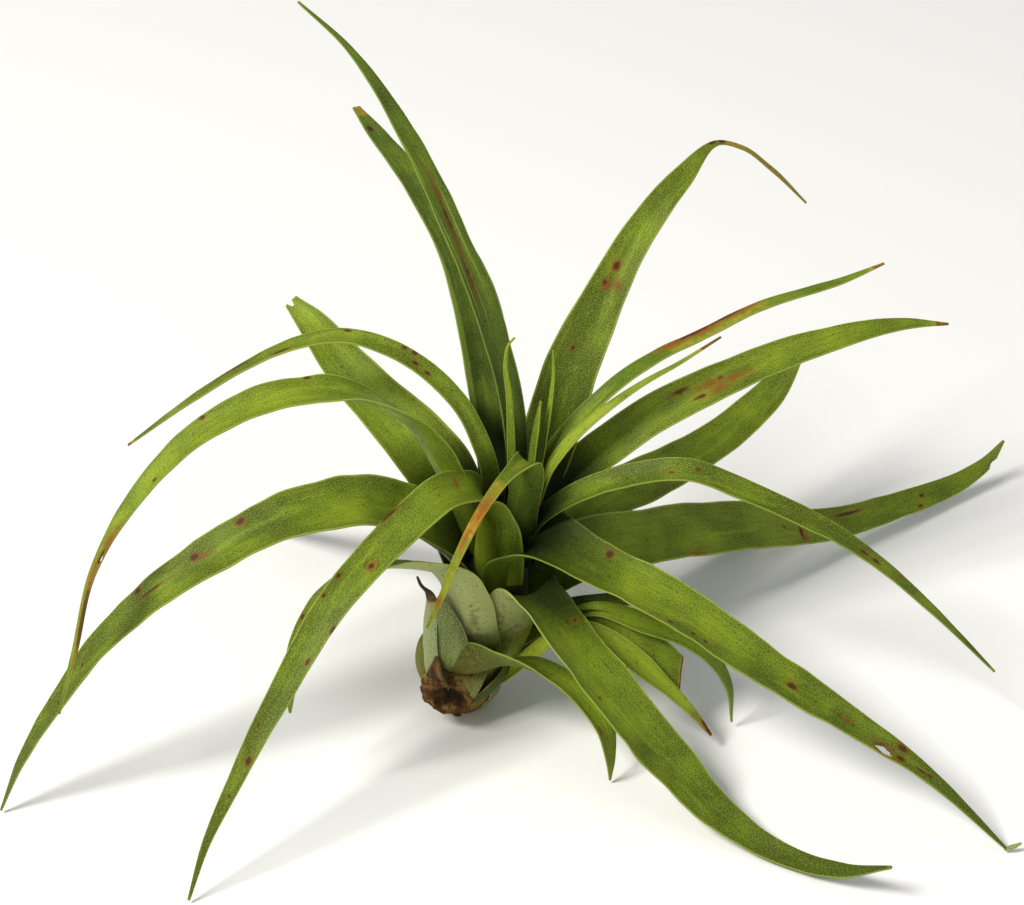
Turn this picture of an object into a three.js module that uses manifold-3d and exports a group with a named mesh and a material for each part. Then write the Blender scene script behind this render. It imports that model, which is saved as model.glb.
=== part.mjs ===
// A soft-leaved air plant, lying on a table as it is when it is picked up and put down:
// a short leaning bulb and a rosette of long, tapering, channelled leaves.
// Millimetres, +Z up. The origin is under the bulb, in the plane of the table.
import * as THREE from "three";
import { mergeVertices } from "three/addons/utils/BufferGeometryUtils.js";
import Module from "manifold-3d";

const bladeThickness = 0.9; // a fresh blade along its midrib
const tipThickness = 0.35; // where a blade has run out to nothing
const thickening = 0.4; // what a blade gains in thickness for each mm of its half width
const marginShare = 0.5; // how thick a margin is, as a share of the midrib
const leastHalfWidth = 0.2; // of a blade or a strand at its very tip
const usualCup = [0.7, 0.5]; // of a leaf that states none
const restGap = 0.3; // air between a leaf and what it lies against
const ringStep = 6.5; // longest stretch of leaf between two cross-sections
const bulbSides = 24;
const weldDistance = 1e-4; // corners this near are one corner
const flatness = 0.02; // how far a face may lie from the shape that it stands for

const wasm = await Module();
wasm.setup();

const plain = (color, roughness) => ({ color, roughness });
const freshBlade = plain("#6f8c2e", 0.5);
const shadedBlade = plain("#556b26", 0.5);
const agedBlade = plain("#8a8a34", 0.6);
const paleSheath = plain("#98a47e", 0.65);
const dryBark = plain("#6a4a2c", 0.85);

// The bulb leans to the right and back, up to the heart between the leaves. Each row is a point of
// its middle line and the radius there. The stub is the cut end where it once grew, low in front.
const bulbCourse = [
  [1.2, 3, -1, 3.6],
  [2, 3.5, 4, 7],
  [3, 4.2, 12, 9],
  [4.8, 5.2, 20, 10],
  [7.5, 7, 27.5, 9.5],
  [11, 9.5, 35.5, 5.8],
  [14, 12, 43, 3.2],
  [17, 14, 52, 1.2],
];
const stubCourse = [
  [3, 4, 12, 7.5],
  [0, -1.5, 11, 6.8],
  [-2.2, -7, 10, 5.5],
];

// Each leaf has a course from the bulb to its tip: a point of the blade and half of its width there.
// cup is how far the channel closes, in radians from midrib to margin, at base and tip: a leaf clasps
// the heart at its base and soon opens out.
// roll is how far the blade turns about its own length, in degrees, at even spaces from base to tip.
// Leaves in front come first, because each one gives way to those before it.
const leaves = [
  {
    name: "centre_folded",
    look: agedBlade,
    cup: [0.9, 0.8],
    course: [
      [14, 9, 35, 3],
      [14.5, 8, 45, 4],
      [15.3, 7, 54.5, 3.9],
      [16.4, 6, 61.5, 3.5],
      [16.2, 4.6, 65.3, 3.1],
      [12.3, 0.3, 64.7, 1.7],
      [7.6, -5.5, 61.6, 1.3],
      [1.7, -13, 53.6, 1],
      [-2.1, -16.2, 44.5, 0.7],
      [-5.2, -15.8, 36.2, 0.3],
    ],
  },
  {
    name: "outer_left",
    look: agedBlade,
    cup: [1, 0.9],
    roll: [40, 40],
    course: [
      [-0.2, -1.5, 5, 2.4],
      [-3.5, -0.8, 8.5, 3.6],
      [-5.7, 0, 13, 4],
      [-5.9, 0.6, 18, 3.4],
      [-4.6, 1.2, 22, 1.6],
    ],
  },
  {
    name: "outer_dry",
    look: paleSheath,
    cup: [0.6, 0.5],
    course: [
      [-1, -1, 8, 1.4],
      [-3.9, -4.2, 13, 2.1],
      [-4.8, -6, 22, 2.2],
      [-4.6, -6.8, 31, 1.9],
      [-4.3, -6.4, 36, 1.7],
      [-5, -6.6, 38.8, 1.3],
      [-6.5, -7, 40.8, 0.6],
      [-7.2, -7.2, 43, 0.3],
    ],
  },
  {
    name: "outer_front",
    look: paleSheath,
    cup: [0.6, 0.6],
    course: [
      [-0.6, -2.2, 14.5, 3],
      [-0.6, -5.4, 18.5, 4],
      [-0.2, -7.2, 25, 3.9],
      [-1.2, -8, 32, 2.8],
      [-2.4, -7.8, 37.5, 1],
    ],
  },
  {
    name: "outer_right",
    look: shadedBlade,
    cup: [0.9, 0.8],
    roll: [-40, -40],
    course: [
      [1.5, -3, 6, 1.8],
      [4.6, -4.6, 8.6, 2.1],
      [8, -4.2, 11.4, 2.2],
      [10.6, -2.4, 14.2, 1.7],
      [12, -0.4, 17, 0.7],
    ],
  },
  {
    name: "front_short",
    look: freshBlade,
    cup: [1.2, 0.4],
    roll: [10, 30, 25, -10, -30],
    course: [
      [6, 1.5, 15, 5],
      [5, -1, 22, 6.2],
      [4, -4, 29.5, 6.3],
      [2.6, -7, 39.5, 5.6],
      [-1, -9.2, 47, 5],
      [-8, -13, 51.4, 3.9],
      [-17.5, -19, 54.2, 2.7],
      [-26, -24.5, 50.2, 2.8],
      [-30.4, -26.8, 42, 2.6],
      [-33, -28, 32, 1.6],
      [-33.5, -28, 23.5, 0.3],
    ],
  },
  {
    name: "front_right",
    look: freshBlade,
    cup: [1.2, 0.35],
    roll: [-25, 22],
    course: [
      [9, 2, 16, 6],
      [10.5, 0, 24, 7.6],
      [12.6, -1.6, 33, 8],
      [15, -3.5, 38.8, 7.6],
      [19.2, -9, 38.6, 7],
      [25, -17, 34.8, 6.9],
      [35.4, -24.5, 23.9, 6.7],
      [45.5, -31.5, 13.7, 5.9],
      [54.5, -38, 6.3, 4.4],
      [65, -45.5, 2.4, 2.9],
      [79.5, -54.5, 4, 1.9],
      [88.5, -61, 11, 0.4],
    ],
  },
  {
    name: "front_low",
    look: freshBlade,
    cup: [1.1, 0.5],
    roll: [-80, -50, -5, 12, 10],
    course: [
      [-2.5, -2, 17, 3.6],
      [2, -5.2, 20, 5.6],
      [8, -7.6, 22.8, 5.8],
      [15, -10.8, 24, 4.2],
      [22.5, -15, 22.8, 3.1],
      [28.4, -19, 19.3, 2.9],
      [32.4, -22, 14, 2.5],
      [33.5, -23.5, 7, 1.5],
      [33.5, -23.5, 1, 0.3],
    ],
  },
  {
    name: "left_broad",
    look: freshBlade,
    cup: [1.2, 0.35],
    roll: [-20, -12],
    course: [
      [6, 5, 35, 6],
      [4, 3, 42, 7.2],
      [0.5, 0, 49.5, 8],
      [-9.5, -3.5, 58.5, 7.2],
      [-20.5, -7.5, 63, 6.7],
      [-30.5, -11, 63, 6],
      [-51, -18, 55.5, 4.8],
      [-73, -25.5, 38.5, 3.1],
      [-81.4, -28.5, 27, 2.4],
      [-89.3, -31, 14.2, 1.4],
      [-95, -33, 1, 0.3],
    ],
  },
  {
    name: "right_long",
    look: freshBlade,
    cup: [1.3, 0.4],
    roll: [5, 14],
    course: [
      [9, 6, 33, 7],
      [9.8, 4.5, 43.8, 8.6],
      [16, 1.8, 48.4, 8],
      [28.5, -5.5, 46.7, 6.4],
      [49, -15, 40, 5.9],
      [64, -21.5, 31.8, 5.1],
      [81, -29.5, 24, 3.7],
      [98, -37, 14.9, 1.9],
      [115, -45, 1, 0.3],
    ],
  },
  {
    name: "front_left",
    look: freshBlade,
    cup: [1.3, 0.4],
    roll: [-15, -30],
    course: [
      [10.8, 6.8, 35, 7.6],
      [10.8, 6.6, 44, 8.4],
      [10.2, 4.8, 53, 6.8],
      [7.5, 2, 59.5, 5.1],
      [3, -1.5, 62.5, 4.6],
      [-2, -6.5, 64, 4.4],
      [-10, -14.5, 61, 4],
      [-22.9, -28, 53.1, 3.4],
      [-34.7, -40.5, 37.5, 2.5],
      [-45, -51.5, 20.5, 1.4],
      [-48.9, -55.5, 13, 0.9],
      [-53, -60, 1, 0.3],
    ],
  },
  {
    name: "right_arch",
    look: freshBlade,
    cup: [0.9, 0.5],
    roll: [30, 15],
    course: [
      [13, 7.5, 33, 1.8],
      [18.5, 6, 49, 2.3],
      [24.5, 5, 55, 2.5],
      [35, 3.5, 61, 2.8],
      [49.5, 1.5, 64.3, 2.7],
      [62, 0, 59.7, 2.6],
      [72.5, -1.5, 55.1, 2.5],
      [86.1, -3.5, 47.1, 1.9],
      [101.2, -5.5, 33.5, 1.2],
      [116, -7.5, 17.7, 0.3],
    ],
  },
  {
    name: "left_high",
    look: freshBlade,
    cup: [0.8, 0.4],
    roll: [50, 15, -15, -15, -15],
    course: [
      [6, 8, 38, 2.5],
      [1, 6, 56, 3.6],
      [-1.5, 5, 64, 4.4],
      [-5.5, 4, 72.5, 5],
      [-11.5, 3, 79.5, 5.2],
      [-20.5, 2, 84, 5],
      [-30.5, 1, 84.5, 4.3],
      [-49.5, -5, 79.5, 3.1],
      [-64, -16, 69, 1.9],
      [-71.5, -28, 59.5, 0.9],
      [-75.2, -37, 46, 0.8],
      [-78.5, -42, 35, 0.3],
    ],
  },
  {
    name: "left_slender",
    look: freshBlade,
    cup: [0.8, 0.5],
    roll: [-60, -35, -18, -22, -25],
    course: [
      [8.6, 10.5, 40, 2],
      [8.4, 9.5, 55, 2],
      [6.3, 9, 65.3, 2.1],
      [1.9, 11, 74.3, 2],
      [-11, 17, 83.4, 2.1],
      [-21, 20, 85.4, 2],
      [-32, 23, 82.1, 1.9],
      [-43.5, 26, 74.5, 1.4],
      [-54.5, 29, 65.1, 1.2],
      [-72, 34, 48, 0.3],
    ],
  },
  {
    name: "centre_a",
    look: freshBlade,
    course: [
      [13, 11.5, 45, 0.9],
      [12.5, 10.5, 59.9, 0.9],
      [11.9, 12, 75.9, 0.65],
      [11.2, 13.5, 83.2, 0.4],
      [11.9, 14.5, 86.9, 0.25],
      [13.1, 15.5, 87.9, 0.2],
    ],
  },
  {
    name: "centre_b",
    look: freshBlade,
    course: [
      [16, 11.5, 45, 0.9],
      [16.6, 10.5, 59.9, 1.2],
      [17.7, 12, 68.4, 0.9],
      [18.5, 13, 73.8, 0.2],
    ],
  },
  {
    name: "right_slender",
    look: agedBlade,
    cup: [0.9, 0.5],
    roll: [10, 8],
    course: [
      [15.5, 11.5, 44, 1.6],
      [20.2, 13.5, 60.1, 1.7],
      [28, 17, 68.5, 1.9],
      [35.6, 21, 74, 1.95],
      [44, 26.5, 76.7, 1.7],
      [50.5, 30.5, 77.7, 1.6],
      [66, 39, 80.9, 1.4],
      [86, 50, 81.2, 0.9],
      [94, 54, 82.5, 0.3],
    ],
  },
  {
    name: "right_hooked",
    look: freshBlade,
    cup: [0.7, 0.4],
    roll: [20, 20],
    course: [
      [12, 2, 17, 1.5],
      [31.5, -1, 29.5, 1.9],
      [42, -3, 27, 2.7],
      [48.8, -4, 25, 2.6],
      [53.4, -4.5, 22, 2.5],
      [56.9, -5, 17.5, 2],
      [59.3, -5.5, 12.5, 1.4],
      [60.5, -5.5, 2, 0.3],
    ],
  },
  {
    name: "right_cut",
    look: freshBlade,
    cup: [0.7, 0.4],
    roll: [50, 50],
    course: [
      [11, 1, 13, 2],
      [31.5, -3, 27.5, 2.6],
      [38, -4.5, 24.3, 3.3],
      [44, -5.5, 20.3, 3.5],
      [49, -6.5, 16, 3.2],
    ],
  },
  {
    name: "right_short",
    look: agedBlade,
    cup: [0.7, 0.4],
    roll: [50, 30],
    course: [
      [9, -2, 11, 1.6],
      [29, -6, 28, 1.8],
      [41, -9, 20, 2.4],
      [46, -10.5, 15.6, 1.7],
      [50.8, -12, 10.8, 1.1],
      [55.5, -13, 4.5, 0.3],
    ],
  },
  {
    name: "right_hidden",
    look: shadedBlade,
    cup: [0.7, 0.4],
    roll: [20, 20],
    course: [
      [11, 4, 19, 1.6],
      [27, 3, 28, 2],
      [32.5, 2.5, 29, 2],
      [38, 2.5, 29.5, 1.5],
      [42.5, 2, 29.5, 0.4],
    ],
  },
  {
    name: "right_high",
    look: freshBlade,
    cup: [0.9, 0.4],
    roll: [45, 25],
    course: [
      [14, 10, 34, 3],
      [23, 13, 52, 4],
      [35.5, 18, 61.5, 4.3],
      [61.5, 28, 71.4, 3.8],
      [85.5, 37.5, 74.8, 2.6],
      [97, 41.5, 74.8, 1.5],
      [108, 46, 71.9, 0.3],
    ],
  },
  {
    name: "right_level",
    look: freshBlade,
    cup: [0.9, 0.35],
    roll: [50, 30],
    course: [
      [12, 8, 24, 4],
      [26, 13, 33.8, 6.4],
      [43, 25, 29.7, 6.2],
      [67, 41.5, 20.6, 5.8],
      [87, 56, 10.1, 4],
      [105, 69, 6.3, 3.2],
      [123.5, 82, 5.6, 2.1],
      [127.5, 84.5, 7.2, 1.6],
      [132, 87.5, 12, 0.3],
    ],
  },
  {
    name: "right_small",
    look: agedBlade,
    cup: [0.6, 0.4],
    roll: [10, 10],
    course: [
      [16, 9.5, 42, 1.2],
      [21.2, 11.5, 59.2, 1.4],
      [28.5, 14, 67.5, 1.3],
      [33.2, 16, 70.7, 1.1],
      [39.5, 19, 73.8, 0.8],
      [48.1, 24, 76.2, 0.5],
      [56.9, 29, 79.4, 0.25],
    ],
  },
  {
    name: "centre_c",
    look: freshBlade,
    course: [
      [16.8, 12.5, 46, 0.8],
      [18.7, 12.5, 60.3, 0.8],
      [20.6, 14.5, 73, 0.6],
      [21.1, 15.5, 78.6, 0.4],
      [21, 16.5, 84.2, 0.2],
    ],
  },
  {
    name: "right_tall",
    look: freshBlade,
    cup: [0.9, 0.4],
    roll: [37, 37],
    course: [
      [14, 12, 38, 4],
      [20.8, 18.5, 62.3, 6],
      [26.4, 24, 78.8, 5.5],
      [31.2, 28, 88.3, 4.6],
      [36, 32.5, 96.8, 3.7],
      [48.2, 43.5, 109.8, 2.4],
      [56.5, 52, 113.6, 0.6],
      [61.5, 54.5, 111.1, 0.6],
      [68.5, 58, 104, 0.8],
      [77, 62, 93.2, 0.3],
    ],
  },
  {
    name: "back_tall",
    look: shadedBlade,
    cup: [0.9, 0.4],
    roll: [-40, -30, 0, 0, 0],
    course: [
      [13, 13, 42, 2],
      [13.3, 13.5, 66.1, 2.4],
      [12.2, 14.5, 74.3, 2.5],
      [9.9, 16.5, 84.2, 2.7],
      [6.8, 18.5, 95.2, 3],
      [2.6, 20, 106, 2.9],
      [-7, 31, 123.3, 2.4],
      [-20.5, 46.5, 138, 0.9],
      [-32, 60, 142.5, 0.3],
    ],
  },
  {
    name: "back_blunt",
    look: shadedBlade,
    cup: [0.9, 0.5],
    roll: [-25, -15, 0, 0],
    course: [
      [9, 15, 40, 2.4],
      [7.8, 16, 61.8, 3.1],
      [5.2, 21, 81.3, 3.2],
      [-0.3, 30.5, 100, 2.8],
      [-9.5, 46.5, 109.5, 2.7],
      [-17.5, 60.5, 112.7, 1.8],
      [-21.2, 68, 113.5, 0.9],
    ],
  },
  {
    name: "back_inner",
    look: shadedBlade,
    cup: [0.9, 0.5],
    course: [
      [11.5, 16, 42, 2],
      [11.5, 19.5, 63.3, 2.4],
      [10.5, 24.5, 70.5, 2.6],
      [6.5, 43, 82.5, 2.4],
      [-0.5, 62, 90, 0.3],
    ],
  },
  {
    name: "right_rear",
    look: freshBlade,
    cup: [0.9, 0.4],
    roll: [40, 25],
    course: [
      [13, 12, 27, 3.5],
      [30, 28, 36.5, 5.3],
      [41.3, 39, 34.6, 5.4],
      [55.3, 52, 33.9, 4.6],
      [73.9, 69.5, 40.2, 3.2],
      [82, 78, 49.5, 0.3],
    ],
  },
  {
    name: "left_cut",
    look: freshBlade,
    cup: [0.8, 0.5],
    roll: [-38, -38],
    course: [
      [5, 12, 32, 5],
      [-2.8, 17.5, 53, 7.2],
      [-16.3, 28.5, 63.5, 5.7],
      [-24.5, 36, 69, 4.6],
      [-31.5, 42, 75.5, 3],
      [-35.6, 46, 77.8, 1.6],
    ],
  },
  {
    name: "rear_left",
    look: shadedBlade,
    cup: [1, 0.5],
    course: [
      [4, 11, 25, 4],
      [-5.5, 22, 41.5, 4.5],
      [-17, 36, 32, 4.5],
      [-31.5, 50, 19, 3.5],
      [-52, 69, 1, 0.3],
    ],
  },
  {
    name: "rear_right",
    look: shadedBlade,
    cup: [1, 0.5],
    course: [
      [10.5, 14, 22, 4],
      [30, 29, 25.5, 4.5],
      [46.5, 43, 16.5, 4],
      [61.5, 56, 7.5, 3],
      [75, 68, 1, 0.3],
    ],
  },
];

const mix = (from, to, share) => from + (to - from) * share;

// The value at a share of the length, between values at even spaces from base to tip.
const spread = (values, share) => {
  const place = share * (values.length - 1);
  const i = Math.min(Math.floor(place), values.length - 2);
  return mix(values[i], values[i + 1], place - i);
};

const vectorOf = (row) => new THREE.Vector3(row[0], row[1], row[2]);

// Rows of a course with more between them: a smooth curve through the rows, whose width runs with it.
// At each row the curve heads the way from the row before to the row after, the nearer one counting more.
// share is how much of the length lies behind a row.
function finerCourse(course, step) {
  const apart = (i) =>
    vectorOf(course[i]).distanceTo(vectorOf(course[i + 1]));
  const heading = (i) => {
    if (i === 0 || i === course.length - 1) {
      const j = Math.min(i, course.length - 2);
      return course[j].map((v, c) => (course[j + 1][c] - v) / apart(j));
    }
    const before = apart(i - 1);
    const after = apart(i);
    return course[i].map(
      (v, c) =>
        (((v - course[i - 1][c]) / before) * after +
          ((course[i + 1][c] - v) / after) * before) /
        (before + after),
    );
  };
  const rows = [];
  let gone = 0;
  for (let i = 0; i < course.length - 1; i++) {
    const length = apart(i);
    const pieces = Math.ceil(length / step);
    const [start, end] = [course[i], course[i + 1]];
    const [out, into] = [heading(i), heading(i + 1)];
    for (let k = i === 0 ? 0 : 1; k <= pieces; k++) {
      const s = k / pieces;
      const place = start.map(
        (v, c) =>
          v * (1 + 2 * s) * (1 - s) ** 2 +
          end[c] * s * s * (3 - 2 * s) +
          length * out[c] * s * (1 - s) ** 2 -
          length * into[c] * s * s * (1 - s),
      );
      const half = Math.max(place[3], leastHalfWidth);
      rows.push({ at: vectorOf(place), half, gone: gone + s * length });
    }
    gone += length;
  }
  rows.forEach((row, i) => {
    row.share = row.gone / gone;
    const before = rows[Math.max(i - 1, 0)].at;
    const after = rows[Math.min(i + 1, rows.length - 1)].at;
    row.along = after.clone().sub(before).normalize();
  });
  return rows;
}

// A closed skin over cross-sections that all have the same number of corners.
function skinOver(sections) {
  const around = sections[0].length;
  const corners = sections.flat().flatMap((p) => [p.x, p.y, p.z]);
  const faces = [];
  for (let i = 0; i < sections.length - 1; i++) {
    for (let k = 0; k < around; k++) {
      const a = i * around + k;
      const b = i * around + ((k + 1) % around);
      faces.push(a, b, b + around, a, b + around, a + around);
    }
  }
  const last = (sections.length - 1) * around;
  for (let k = 0; k < around / 2 - 1; k++) {
    const across = around - 1 - k;
    faces.push(k, across, across - 1, k, across - 1, k + 1);
    faces.push(last + k, last + across - 1, last + across);
    faces.push(last + k, last + k + 1, last + across - 1);
  }
  const skin = new THREE.BufferGeometry();
  skin.setAttribute("position", new THREE.Float32BufferAttribute(corners, 3));
  skin.setIndex(faces);
  return skin;
}

// A leaf: the channel is an arc, the upper face hollow, thickest along the midrib.
// The course runs midway between the margins, and the midrib lies below it.
// grow makes the same leaf larger all round, as the room that it needs.
function leafSkin({ course, cup = usualCup, roll = [0, 0] }, grow) {
  const rows = finerCourse(course, ringStep);
  const reach = rows.at(-1).at.clone().sub(rows[0].at);
  const level = new THREE.Vector3(-reach.y, reach.x, 0).normalize();
  const steps = [-1, -0.5, 0, 0.5, 1];
  const sections = rows.map(({ at, half, along, share }, i) => {
    const bend = mix(cup[1], cup[0], (1 - share) ** 3);
    const turn = THREE.MathUtils.degToRad(spread(roll, share));
    const side = level
      .clone()
      .addScaledVector(along, -level.dot(along))
      .normalize()
      .applyAxisAngle(along, turn);
    const upper = along.clone().cross(side);
    const wide = half + grow;
    const blade = Math.min(bladeThickness, tipThickness + thickening * half);
    const thick = blade + 2 * grow;
    const endwise = i === 0 ? -grow : i === rows.length - 1 ? grow : 0;
    const middle = at.clone().addScaledVector(along, endwise);
    const corner = (a, face) => {
      const angle = a * bend;
      const rise = (1 - Math.cos(angle)) / Math.sin(bend) - Math.tan(bend / 2);
      const here = grow + (thick / 2 - grow) * mix(1, marginShare, a * a);
      return middle
        .clone()
        .addScaledVector(side, (wide * Math.sin(angle)) / Math.sin(bend))
        .addScaledVector(upper, wide * rise)
        .addScaledVector(side, -face * here * Math.sin(angle))
        .addScaledVector(upper, face * here * Math.cos(angle));
    };
    return [
      ...steps.map((a) => corner(a, -1)),
      ...steps.map((a) => corner(-a, 1)),
    ];
  });
  return skinOver(sections);
}

// A round body: circles square to its middle line.
function roundSkin(course, grow) {
  const rows = finerCourse(course, ringStep);
  const sections = rows.map(({ at, half, along }, i) => {
    const side = new THREE.Vector3(1, 0, 0)
      .addScaledVector(along, -along.x)
      .normalize();
    const other = along.clone().cross(side);
    const endwise = i === 0 ? -grow : i === rows.length - 1 ? grow : 0;
    const middle = at.clone().addScaledVector(along, endwise);
    return Array.from({ length: bulbSides }, (_, k) => {
      const angle = (2 * Math.PI * k) / bulbSides;
      return middle
        .clone()
        .addScaledVector(side, (half + grow) * Math.cos(angle))
        .addScaledVector(other, (half + grow) * Math.sin(angle));
    });
  });
  return skinOver(sections);
}

function solidFrom(skin) {
  const merged = mergeVertices(skin, weldDistance);
  return new wasm.Manifold(
    new wasm.Mesh({
      numProp: 3,
      vertProperties: merged.attributes.position.array,
      triVerts: new Uint32Array(merged.index.array),
    }),
  );
}

function meshFrom(name, solid, look) {
  const { vertProperties, triVerts } = solid.getMesh();
  const geometry = new THREE.BufferGeometry();
  geometry.setAttribute("position", new THREE.BufferAttribute(vertProperties, 3));
  geometry.setIndex(new THREE.BufferAttribute(triVerts, 1));
  geometry.computeVertexNormals();
  const material = new THREE.MeshStandardMaterial({ ...look, metalness: 0 });
  const mesh = new THREE.Mesh(geometry, material);
  mesh.name = name;
  return mesh;
}

const boxesMeet = (a, b) =>
  [0, 1, 2].every((k) => a.min[k] < b.max[k] && b.min[k] < a.max[k]);

const group = new THREE.Group();

// The bulb and its stub are one body, cut level where it stands on the table.
const bulbBody = (grow) =>
  solidFrom(roundSkin(bulbCourse, grow)).add(solidFrom(roundSkin(stubCourse, grow)));
const tableUp = [0, 0, 1];
group.add(meshFrom("stem", bulbBody(0).trimByPlane(tableUp, 0), dryBark));

// Each leaf gives way to the bulb and to the leaves before it, and keeps its largest piece.
const taken = [bulbBody(restGap)];
for (const leaf of leaves) {
  let solid = solidFrom(leafSkin(leaf, 0));
  const box = solid.boundingBox();
  for (const other of taken) {
    if (boxesMeet(box, other.boundingBox())) solid = solid.subtract(other);
  }
  const pieces = solid.decompose();
  pieces.sort((a, b) => b.volume() - a.volume());
  const blade = pieces[0].simplify(flatness);
  group.add(meshFrom("leaf_" + leaf.name, blade, leaf.look));
  taken.push(solidFrom(leafSkin(leaf, restGap)));
}

export default group;
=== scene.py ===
# An air plant as it is picked up and put down on a pale table: a short leaning bulb and a loose rosette
# of channelled leaves. Metres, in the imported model's frame. Shapes are worked out in millimetres.
import math
import bpy
import numpy as np
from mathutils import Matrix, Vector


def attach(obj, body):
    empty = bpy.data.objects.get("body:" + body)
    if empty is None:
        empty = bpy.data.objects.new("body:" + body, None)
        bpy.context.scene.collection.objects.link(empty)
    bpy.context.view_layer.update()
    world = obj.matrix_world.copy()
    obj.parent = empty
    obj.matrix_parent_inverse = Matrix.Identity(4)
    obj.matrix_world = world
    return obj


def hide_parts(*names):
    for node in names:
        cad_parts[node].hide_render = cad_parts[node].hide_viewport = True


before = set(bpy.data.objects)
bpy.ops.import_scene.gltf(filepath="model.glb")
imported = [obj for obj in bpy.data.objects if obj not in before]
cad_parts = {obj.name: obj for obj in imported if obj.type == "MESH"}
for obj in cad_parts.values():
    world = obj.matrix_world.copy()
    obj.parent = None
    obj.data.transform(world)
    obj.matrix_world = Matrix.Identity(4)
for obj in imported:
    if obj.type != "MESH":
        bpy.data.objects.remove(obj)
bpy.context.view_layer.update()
mm = 0.001

# the photograph looks down on the plant from the front, through a long lens
viewpoint = {
    "place": (0.01254, -0.48003, 0.40584),  # metres
    "tilt": 55,  # degrees up from straight down
    "lens": 100,  # mm, on a sensor 36 mm wide
}


def makeCamera():
    # it faces along Y, tilted down and never turned
    lens = bpy.data.cameras.new("camera")
    lens.lens = viewpoint["lens"]
    camera = bpy.data.objects.new("camera", lens)
    camera.location = viewpoint["place"]
    camera.rotation_euler = (math.radians(viewpoint["tilt"]), 0, 0)
    bpy.context.scene.collection.objects.link(camera)
    bpy.context.scene.camera = camera


makeCamera()
print("camera in place")


def linear(hexColour):
    # an sRGB hex value as linear light, with an opacity of 1
    share = np.array([int(hexColour[i:i + 2], 16) for i in (1, 3, 5)]) / 255
    light = np.where(share <= 0.04045, share / 12.92, ((share + 0.055) / 1.055) ** 2.4)
    return (*light.tolist(), 1)


def addNode(tree, kind, settings, links=None):
    # a node with its settings (a property's name, or an input's name or number) and what feeds its inputs
    node = tree.nodes.new(kind)
    for key, value in settings.items():
        if isinstance(key, str) and hasattr(node, key):
            setattr(node, key, value)
        else:
            node.inputs[key].default_value = value
    for key, source in (links or {}).items():
        tree.links.new(source, node.inputs[key])
    return node


def blankMaterial(name):
    # a new material with its node tree and its shader
    material = bpy.data.materials.new(name)
    material.use_nodes = True
    return material, material.node_tree, material.node_tree.nodes["Principled BSDF"]


def layCoats(tree, paint, coats, tones, field, ragged, ease):
    # Coats laid one over another. A coat is its colour, the field that places it, how ragged its edge is,
    # where on the field it starts and is full, and its strength.
    for colour, source, rough, start, full, strength in coats:
        laid = addNode(
            tree, "ShaderNodeMath", {"operation": "MULTIPLY_ADD", 1: rough}, {0: ragged, 2: field[source]}
        )
        mask = addNode(
            tree, "ShaderNodeMapRange",
            {"interpolation_type": ease, "From Min": start, "From Max": full, "To Max": strength},
            {"Value": laid.outputs[0]},
        )
        paint = addNode(
            tree, "ShaderNodeMix", {"data_type": "RGBA", 7: linear(tones[colour])},
            {0: mask.outputs[0], 6: paint},
        ).outputs[2]
    return paint


# Leaf tissue: a soft green blade that grew under a thin waxy skin, covered by pale water-holding scales
# that are densest on the clasping base. It gives the eye a satin green with a fine pale speckle, faint
# veins that run along the blade, a light line at the margins, and straw to brown where it has died back.
tissues = {
    "fresh": {
        "deep": "#495712", "light": "#869920", "vein": "#37430c", "gleam": "#97ac2c", "pale": "#a2aa6e",
        "scale": "#9eb146", "margin": "#aebd52", "straw": "#9c8a2c", "brown": "#573516", "shadow": "#121b10",
        "rust": "#7c3d16", "bruise": "#33200f", "stain": "#5f4f24", "roughness": 0.5, "speckle": 0.38,
        "paleness": 0.95,
    },
    # the same tissue painted darker, for the leaves that lie in shade at the back and underneath
    "shaded": {
        "deep": "#364714", "light": "#68791f", "vein": "#2a3a10", "gleam": "#829430", "pale": "#7c8c50",
        "scale": "#869e48", "margin": "#93a948", "straw": "#8a7a2a", "brown": "#4a2f15", "shadow": "#121b12",
        "rust": "#64401c", "bruise": "#2f1d10", "stain": "#4a4420", "roughness": 0.5, "speckle": 0.3,
        "paleness": 0.55,
    },
    "aged": {
        "deep": "#4f6a18", "light": "#8ea028", "vein": "#435814", "gleam": "#aeb23c", "pale": "#98a05c",
        "scale": "#aeb454", "margin": "#bcc05a", "straw": "#a8942e", "brown": "#66401a", "shadow": "#141b0f",
        "rust": "#8a3c1a", "bruise": "#45260f", "stain": "#705a28", "roughness": 0.55, "speckle": 0.25,
        "paleness": 0.5,
    },
    "sheath": {
        "deep": "#58672c", "light": "#87924a", "vein": "#47522a", "gleam": "#9ea65c", "pale": "#98a272",
        "scale": "#b4bc8e", "margin": "#a4ae70", "straw": "#7a7038", "brown": "#33261a", "shadow": "#26301c",
        "rust": "#85602c", "bruise": "#24180f", "stain": "#5c5024", "roughness": 0.62, "speckle": 0.55,
        "paleness": 0.9,
    },
}
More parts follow.
